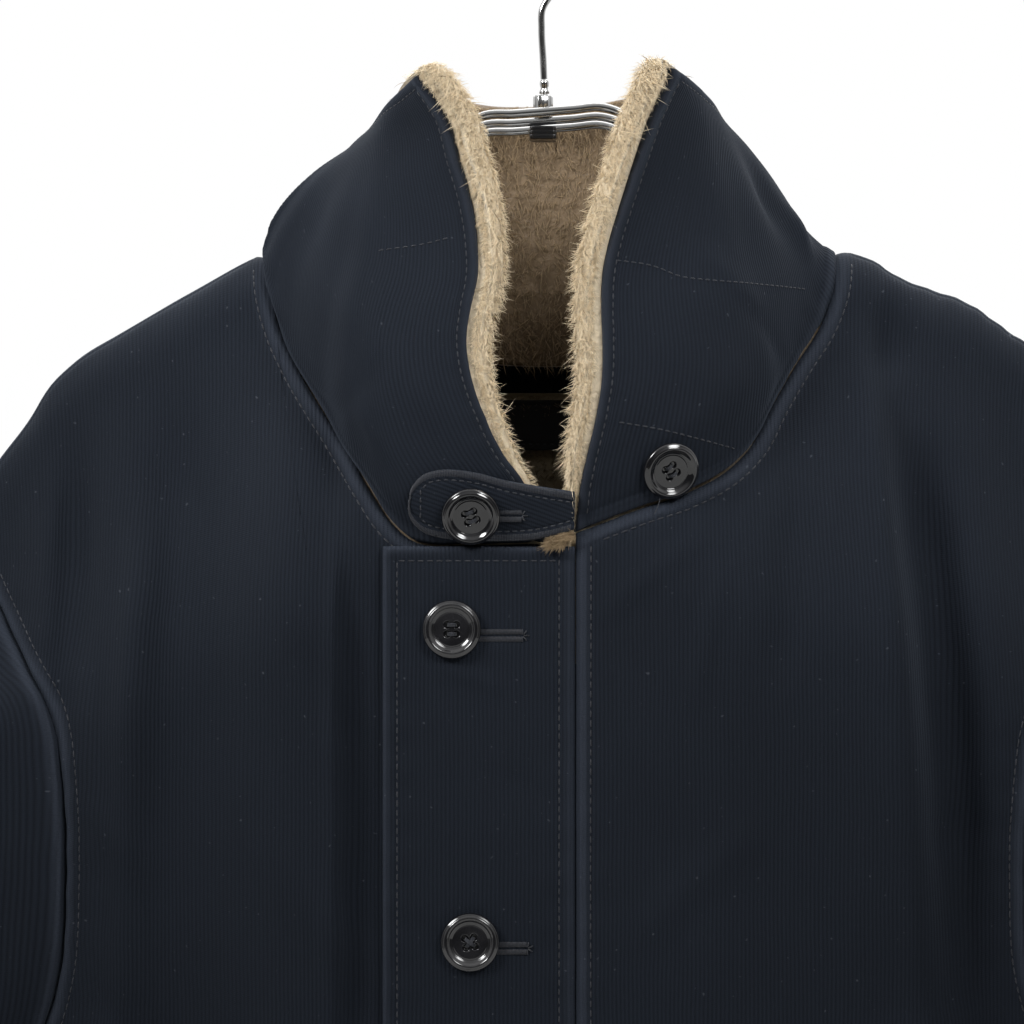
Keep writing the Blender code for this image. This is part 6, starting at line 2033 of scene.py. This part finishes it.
def build_stitching():
    """All rows of stitches, the worked buttonholes, the tab's overcast edge and the loose thread tail."""
    sizes = bpy.context.scene.jacket_sizes
    by_piece = {}
    for name, path, out, length in stitch_rows():
        made = dashes(path, out, length * sizes.stitch_scale * MM, 0.7 * MM, sizes.thread_radius)
        by_piece.setdefault(name.split("_")[0], []).append(made)
    for name, parts in by_piece.items():
        points, faces = joined(parts)
        add_mesh(f"jacket_{name}_stitches", points, faces, finish("navy_thread"))
    holes = []
    tree = ray_tree(placket_surface()[0])
    for k, x in enumerate((-35.7, -28.7, -28.2, -28.0, -28.0)):
        z = (-299 - 120 * k - 2.4) * MM
        y = min(seen_at(tree, a * MM, z)[0][1] for a in (-20, -12, -8))
        holes.append(buttonhole((x + 4) * MM, (-8.4 + (k == 1) * 1.6) * MM, z, y - 0.1 * MM))
    tab_tree = ray_tree(tab_surface()[0])
    y = min(seen_at(tab_tree, a * MM, -255.2 * MM)[0][1] for a in (-20, -14, -9))
    holes.append(buttonhole(-24 * MM, -9 * MM, -255.4 * MM, y - 0.05 * MM))
    points, faces = joined(holes)
    add_mesh("jacket_buttonholes", points, faces, finish("navy_thread"))
    outer, n, _, _ = tab_surface()
    k = 1
    edge = np.concatenate([outer[:-2, k][::-1], outer[0, k:-k], outer[:-2, -k - 1]])
    inner = np.concatenate([outer[:-2, k + 6][::-1], outer[8, k:-k], outer[:-2, -k - 7]])
    out = np.concatenate([n[:-2, k][::-1], n[0, k:-k], n[:-2, -k - 1]])
    points, faces = overcast(edge + out * 0.1 * MM, inner - edge, out, 0.62 * MM, 2.6 * MM, 0.24 * MM)
    add_mesh("jacket_tab_overcast", points, faces, finish("navy_thread"))
    start = seen_at(ray_tree(collar_surface()[0]), 46 * MM, -243.5 * MM)[0][1] / MM
    spots = ((46, start - 0.2, -243.5), (44.6, start - 1.4, -248.0), (43.6, start - 1.8, -251.5), (42.2, start - 1.0, -254.8))
    points, faces = tube(through(np.array(spots) * MM, np.linspace(0, 1, 24)), 0.2 * MM, 7)
    add_mesh("jacket_thread_tail", points, outwards(points, faces), finish("navy_thread"))


# Hanger

def build_hanger():
    """The three bent wires, the hook with its ball and ferrule, the faceted nut and the black bracket."""
    chrome = finish("chrome_wire")
    for name, bar_depth, end_depth, bar_drop, arm_drop in HANGER_WIRES:
        rows = np.array([(-o, l, o) for o, l, _ in HANGER_ARM[:0:-1]] + [(o, r, o) for o, _, r in HANGER_ARM], float)
        along = ease((rows[:, 2] - 24) / 90.0)
        height = rows[:, 1] - bar_drop - (arm_drop - bar_drop) * along
        depth = bar_depth + (end_depth - bar_depth) * np.maximum(0.0, (rows[:, 2] - 100) / 99)
        spots = np.stack([rows[:, 0], depth, height], axis=1) * MM
        path = through(spots, np.linspace(0, 1, 221))
        radius = WIRE_RADIUS * np.minimum(1.0, 0.55 + 0.45 * np.minimum(np.arange(221), np.arange(221)[::-1]) / 1.0)
        points, faces = tube(path, radius, 28)
        add_mesh(f"jacket_hanger_wire_{name}", points, outwards(points, faces), chrome,
                 replaces=(f"hanger_wire_{name}",))
    radius = HOOK_INNER_RADIUS + HOOK_WIRE_RADIUS
    sweep = np.radians(np.linspace(-72, 196, 14))
    turn = np.stack([radius * np.cos(sweep), 0 * sweep, -HOOK_INNER_RADIUS + radius * np.sin(sweep)], -1)
    stem = np.array([(0.0006, 0, NUT_TOP + SEAM_GAP), (0, 0, -70 * MM), (-0.0006, 0, -58 * MM),
                     (-0.0002, 0, -50 * MM), (0.0035, 0, -44 * MM)])
    path = through(np.concatenate([stem, turn]), np.linspace(0, 1, 200))
    hook = tube(path, HOOK_WIRE_RADIUS * np.where(np.arange(200) > 197, 0.8, 1.0), 28)
    hook = (hook[0], outwards(*hook))
    bulb = np.array([(0.0, -78.4), (1.5, -78.6), (1.72, -79.4), (1.9, -80.4), (1.72, -81.3), (1.5, -82.0), (1.62, -82.8),
                     (1.95, -83.4), (2.0, -84.3), (0.0, -84.3)]) * MM
    bulb[:, 0] = np.maximum(bulb[:, 0], 0.02 * MM)
    shoulder, shoulder_faces = spun(bulb[::-1], 40)
    points, faces = joined([hook, (shoulder + [0.0005, 0, 0], shoulder_faces)])
    add_mesh("jacket_hanger_hook", points, faces, chrome, replaces=("hanger_hook",))
    add_nut(chrome)
    add_bracket()


def add_nut(chrome):
    """The nut: a turned body whose radius follows twelve soft facets, with chamfered ends and a bored lip."""
    rings = np.array([(0.05, 0.0), (2.1, 0.0), (2.4, -0.25), (3.3, -0.25), (3.75, -0.6), (4.0, -1.3), (4.0, -7.6),
                      (3.75, -8.3), (3.2, -8.7), (0.05, -8.7)]) * MM
    angle = np.linspace(0, 2 * math.pi, 96, endpoint=False)
    facet = 1 - 0.055 * np.abs(np.sin(6 * angle)) ** 0.7
    share = ease((rings[:, :1] - 2.6 * MM) / (1.0 * MM))
    r = rings[:, :1] * (1 + (facet - 1) * share)
    points = np.stack([r * np.cos(angle), r * np.sin(angle), rings[:, 1:] + NUT_TOP - 0.1 * MM + 0 * angle], axis=-1)
    points, faces = capped(points)
    add_mesh("jacket_hanger_nut", points, outwards(points, faces), chrome, replaces=("hanger_nut",))


def add_bracket():
    """The moulded block that clamps the wires: a rounded box of its CAD node's size, as a superellipse
    carried up a rounded profile, with two pressed lines."""
    low, high = (np.array(corner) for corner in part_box("hanger_bracket"))
    half, middle = (high - low) / 2, (high + low) / 2
    angle = np.linspace(0, 2 * math.pi, 72, endpoint=False)
    power = 0.22
    ring = np.stack([np.sign(np.cos(angle)) * np.abs(np.cos(angle)) ** power,
                     np.sign(np.sin(angle)) * np.abs(np.sin(angle)) ** power], axis=-1)
    rise = np.concatenate([np.linspace(-1, -0.82, 6), np.linspace(-0.6, 0.6, 13), np.linspace(0.82, 1, 6)])
    inset = 1 - 0.10 * np.clip((np.abs(rise) - 0.82) / 0.18, 0, 1) ** 2 - 0.02 * bell(rise, 0.3, 0.06) - 0.02 * bell(rise, -0.3, 0.06)
    points = np.concatenate([
        ring[None] * inset[:, None, None] * half[:2], np.broadcast_to((rise * half[2])[:, None, None], (len(rise), 72, 1))
    ], axis=-1) + middle
    points, faces = capped(points)
    add_mesh("jacket_hanger_bracket", points, outwards(points - middle, faces),
             finish("black_bracket"), replaces=("hanger_bracket",))


# Stage

def build_stage():
    """A pale floor, soft light from above and behind, a weak one in front, and the camera at the
    photograph's place."""
    scene = bpy.context.scene
    size = 3.0
    mesh = bpy.data.meshes.new("studio_floor")
    mesh.from_pydata([(-size, -size, -1.45), (size, -size, -1.45), (size, size, -1.45), (-size, size, -1.45)], [],
                     [(0, 1, 2, 3)])
    floor = bpy.data.objects.new("studio_floor", mesh)
    material, tree, shader = new_material("pale_floor", (0.8, 0.8, 0.79), Roughness=0.9)
    place = add_node(tree, "TexCoord").outputs["Object"]
    grain = add_node(tree, "TexNoise", {"Vector": place, "Scale": 40.0, "Detail": 4.0}).outputs[0]
    tree.links.new(blended(tree, grain, (0.78, 0.78, 0.77, 1), (0.84, 0.84, 0.83, 1)), shader.inputs["Base Color"])
    mesh.materials.append(material)
    scene.collection.objects.link(floor)

    world = bpy.data.worlds.new("studio")
    scene.world = world
    world.use_nodes = True
    tree = world.node_tree
    back = tree.nodes["Background"]
    way = add_node(tree, "SeparateXYZ", {0: add_node(tree, "TexCoord").outputs["Generated"]})
    behind = add_node(tree, "MapRange", {0: way.outputs[1], 1: -0.45, 2: 0.35, 3: 0.06, 4: 1.0}).outputs[0]
    above = add_node(tree, "MapRange", {0: way.outputs[2], 1: 0.1, 2: 0.8, 3: 0.0, 4: 0.55}).outputs[0]
    light = maths(tree, "ADD", behind, above, clamp=True)
    seen = add_node(tree, "LightPath").outputs["Is Camera Ray"]
    level = maths(tree, "MAXIMUM", light, seen)
    grey = add_node(tree, "CombineColor", {0: level, 1: level, 2: level}).outputs[0]
    tree.links.new(grey, back.inputs["Color"])
    back.inputs["Strength"].default_value = 1.0

    for name, at, aim, width, energy in (
        ("soft_top", (0.15, 0.75, 0.75), (0, 0, -0.35), 1.6, 14.0),
        ("soft_left", (-0.95, -0.75, 0.55), (0, 0, -0.12), 0.5, 1.5),
        ("soft_right", (0.6, -0.8, 0.5), (0.03, 0, -0.08), 0.5, 1.0),
    ):
        lamp = bpy.data.lights.new(name, "AREA")
        lamp.energy = energy
        lamp.size = width
        lamp.spread = math.radians(180 if name == "soft_top" else 48)
        light = bpy.data.objects.new(name, lamp)
        light.location = at
        light.rotation_euler = (Vector(aim) - Vector(at)).to_track_quat("-Z", "Y").to_euler()
        scene.collection.objects.link(light)

    lens = bpy.data.cameras.new("photo_camera")
    lens.sensor_width = 36.0
    lens.lens = 136.97
    lens.clip_start = 0.05
    camera = bpy.data.objects.new("photo_camera", lens)
    camera.location = (-0.0126, -1.58, -0.254)
    camera.rotation_euler = (math.pi / 2, 0.0, 0.0)
    scene.collection.objects.link(camera)
    scene.camera = camera
    scene.view_settings.view_transform = "Standard"


# Add-on

class JacketSizes(bpy.types.PropertyGroup):
    """Sizes of the finer details."""

    rib_pitch: FloatProperty(name="Rib pitch", description="Distance from one cord rib to the next",
                             default=1.6 * MM, min=0.4 * MM, unit="LENGTH")
    fur_length: FloatProperty(name="Fur length", description="Length of a strand on the front rims",
                              default=6.2 * MM, min=1.0 * MM, unit="LENGTH")
    rim_strands: IntProperty(name="Rim strands", description="Strands of fur on each front rim", default=12000,
                             min=100, max=12400)
    inner_strands: IntProperty(name="Inner strands", description="Strands of fur inside the collar", default=12300,
                               min=100, max=12400)
    stitch_scale: FloatProperty(name="Stitch scale", description="Length of the stitches against the usual one",
                                default=1.0, min=0.5, max=2.0, subtype="FACTOR")
    thread_radius: FloatProperty(name="Thread radius", description="Radius of the sewing thread",
                                 default=0.26 * MM, min=0.05 * MM, unit="LENGTH")


class JacketColours(bpy.types.PropertyGroup):
    """Colours of the cloth, fur and hard parts."""

    cord_ridge: FloatVectorProperty(
        name="Cord ridge", description="Cloth on top of the ribs", default=(0.0120, 0.0158, 0.0235),
        size=3, min=0.0, max=1.0, subtype="COLOR")
    # Painted shade: the cloth between the ribs, darker than on top of them.
    cord_groove_shade: FloatVectorProperty(
        name="Cord groove", description="Cloth between the ribs", default=(0.0050, 0.0068, 0.0105),
        size=3, min=0.0, max=1.0, subtype="COLOR")
    thread: FloatVectorProperty(
        name="Thread", description="Sewing thread", default=(0.011, 0.014, 0.024),
        size=3, min=0.0, max=1.0, subtype="COLOR")
    rim_tip: FloatVectorProperty(
        name="Rim tip", description="Light ends of the fur on the front rims", default=(0.93, 0.79, 0.57),
        size=3, min=0.0, max=1.0, subtype="COLOR")
    # Colours of the fur inside the collar: the rims' pile darkened as painted shade.
    fur_tip_in_shade: FloatVectorProperty(
        name="Fur tip", description="Light ends of the fur", default=(0.36, 0.265, 0.155),
        size=3, min=0.0, max=1.0, subtype="COLOR")
    fur_deep_in_shade: FloatVectorProperty(
        name="Fur deep", description="Darker strands of the fur", default=(0.25, 0.175, 0.098),
        size=3, min=0.0, max=1.0, subtype="COLOR")
    fur_root_in_shade: FloatVectorProperty(
        name="Fur root", description="Fur near the ground", default=(0.19, 0.13, 0.072),
        size=3, min=0.0, max=1.0, subtype="COLOR")
    lining: FloatVectorProperty(
        name="Lining", description="Lining of the upper back", default=(0.30, 0.25, 0.17),
        size=3, min=0.0, max=1.0, subtype="COLOR")
    button: FloatVectorProperty(
        name="Button", description="Button plastic", default=(0.004, 0.004, 0.005),
        size=3, min=0.0, max=1.0, subtype="COLOR")
    chrome: FloatVectorProperty(
        name="Chrome", description="Plated wire", default=(0.46, 0.46, 0.455),
        size=3, min=0.0, max=1.0, subtype="COLOR")


class DECKJACKET_OT_body(bpy.types.Operator):
    """Adds the back and the two fronts"""

    bl_idname = "deck_jacket.body"
    bl_label = "Body"
    bl_options = {"REGISTER", "UNDO"}

    def execute(self, context):
        build_body()
        return {"FINISHED"}


class DECKJACKET_OT_sleeves(bpy.types.Operator):
    """Adds both sleeves"""

    bl_idname = "deck_jacket.sleeves"
    bl_label = "Sleeves"
    bl_options = {"REGISTER", "UNDO"}

    def execute(self, context):
        build_sleeves()
        return {"FINISHED"}


class DECKJACKET_OT_collar(bpy.types.Operator):
    """Adds the standing collar"""

    bl_idname = "deck_jacket.collar"
    bl_label = "Collar"
    bl_options = {"REGISTER", "UNDO"}

    def execute(self, context):
        build_collar()
        return {"FINISHED"}


class DECKJACKET_OT_closure(bpy.types.Operator):
    """Adds the placket and the chin tab"""

    bl_idname = "deck_jacket.closure"
    bl_label = "Placket and tab"
    bl_options = {"REGISTER", "UNDO"}

    def execute(self, context):
        build_closure()
        return {"FINISHED"}


class DECKJACKET_OT_fur(bpy.types.Operator):
    """Adds the fur of the collar"""

    bl_idname = "deck_jacket.fur"
    bl_label = "Fur"
    bl_options = {"REGISTER", "UNDO"}

    def execute(self, context):
        build_fur()
        return {"FINISHED"}


class DECKJACKET_OT_lining(bpy.types.Operator):
    """Adds the lining of the upper back and its plain patch"""

    bl_idname = "deck_jacket.lining"
    bl_label = "Lining and patch"
    bl_options = {"REGISTER", "UNDO"}

    def execute(self, context):
        build_lining()
        return {"FINISHED"}


class DECKJACKET_OT_buttons(bpy.types.Operator):
    """Adds every button and its thread"""

    bl_idname = "deck_jacket.buttons"
    bl_label = "Buttons"
    bl_options = {"REGISTER", "UNDO"}

    def execute(self, context):
        build_buttons()
        return {"FINISHED"}


class DECKJACKET_OT_stitching(bpy.types.Operator):
    """Adds the stitches, the buttonholes and the overcast edge"""

    bl_idname = "deck_jacket.stitching"
    bl_label = "Stitching"
    bl_options = {"REGISTER", "UNDO"}

    def execute(self, context):
        build_stitching()
        return {"FINISHED"}


class DECKJACKET_OT_hanger(bpy.types.Operator):
    """Adds the wires, hook, nut and bracket of the hanger"""

    bl_idname = "deck_jacket.hanger"
    bl_label = "Hanger"
    bl_options = {"REGISTER", "UNDO"}

    def execute(self, context):
        build_hanger()
        return {"FINISHED"}


class DECKJACKET_OT_stage(bpy.types.Operator):
    """Adds the floor, the light and the camera"""

    bl_idname = "deck_jacket.stage"
    bl_label = "Stage"
    bl_options = {"REGISTER", "UNDO"}

    def execute(self, context):
        build_stage()
        return {"FINISHED"}


OPERATORS = (
    DECKJACKET_OT_body,
    DECKJACKET_OT_sleeves,
    DECKJACKET_OT_collar,
    DECKJACKET_OT_closure,
    DECKJACKET_OT_fur,
    DECKJACKET_OT_lining,
    DECKJACKET_OT_buttons,
    DECKJACKET_OT_stitching,
    DECKJACKET_OT_hanger,
    DECKJACKET_OT_stage,
)


class DECKJACKET_PT_sidebar(bpy.types.Panel):
    """The jacket's pieces, sizes and colours"""

    bl_idname = "DECKJACKET_PT_sidebar"
    bl_label = "Deck Jacket"
    bl_space_type = "VIEW_3D"
    bl_region_type = "UI"
    bl_category = "Deck Jacket"

    def draw(self, context):
        for settings in (context.scene.jacket_sizes, context.scene.jacket_colours):
            column_of = self.layout.column(align=True)
            for key in settings.__annotations__:
                column_of.prop(settings, key)
        for operator in OPERATORS:
            self.layout.operator(operator.bl_idname)


def register():
    for kind in (JacketSizes, JacketColours, *OPERATORS, DECKJACKET_PT_sidebar):
        bpy.utils.register_class(kind)
    bpy.types.Scene.jacket_sizes = PointerProperty(type=JacketSizes)
    bpy.types.Scene.jacket_colours = PointerProperty(type=JacketColours)


def unregister():
    del bpy.types.Scene.jacket_colours
    del bpy.types.Scene.jacket_sizes
    for kind in reversed((JacketSizes, JacketColours, *OPERATORS, DECKJACKET_PT_sidebar)):
        bpy.utils.unregister_class(kind)


def main():
    """Builds every piece in order."""
    register()
    for operator in OPERATORS:
        group, key = operator.bl_idname.split(".")
        getattr(getattr(bpy.ops, group), key)()


if __name__ == "__main__":
    main()
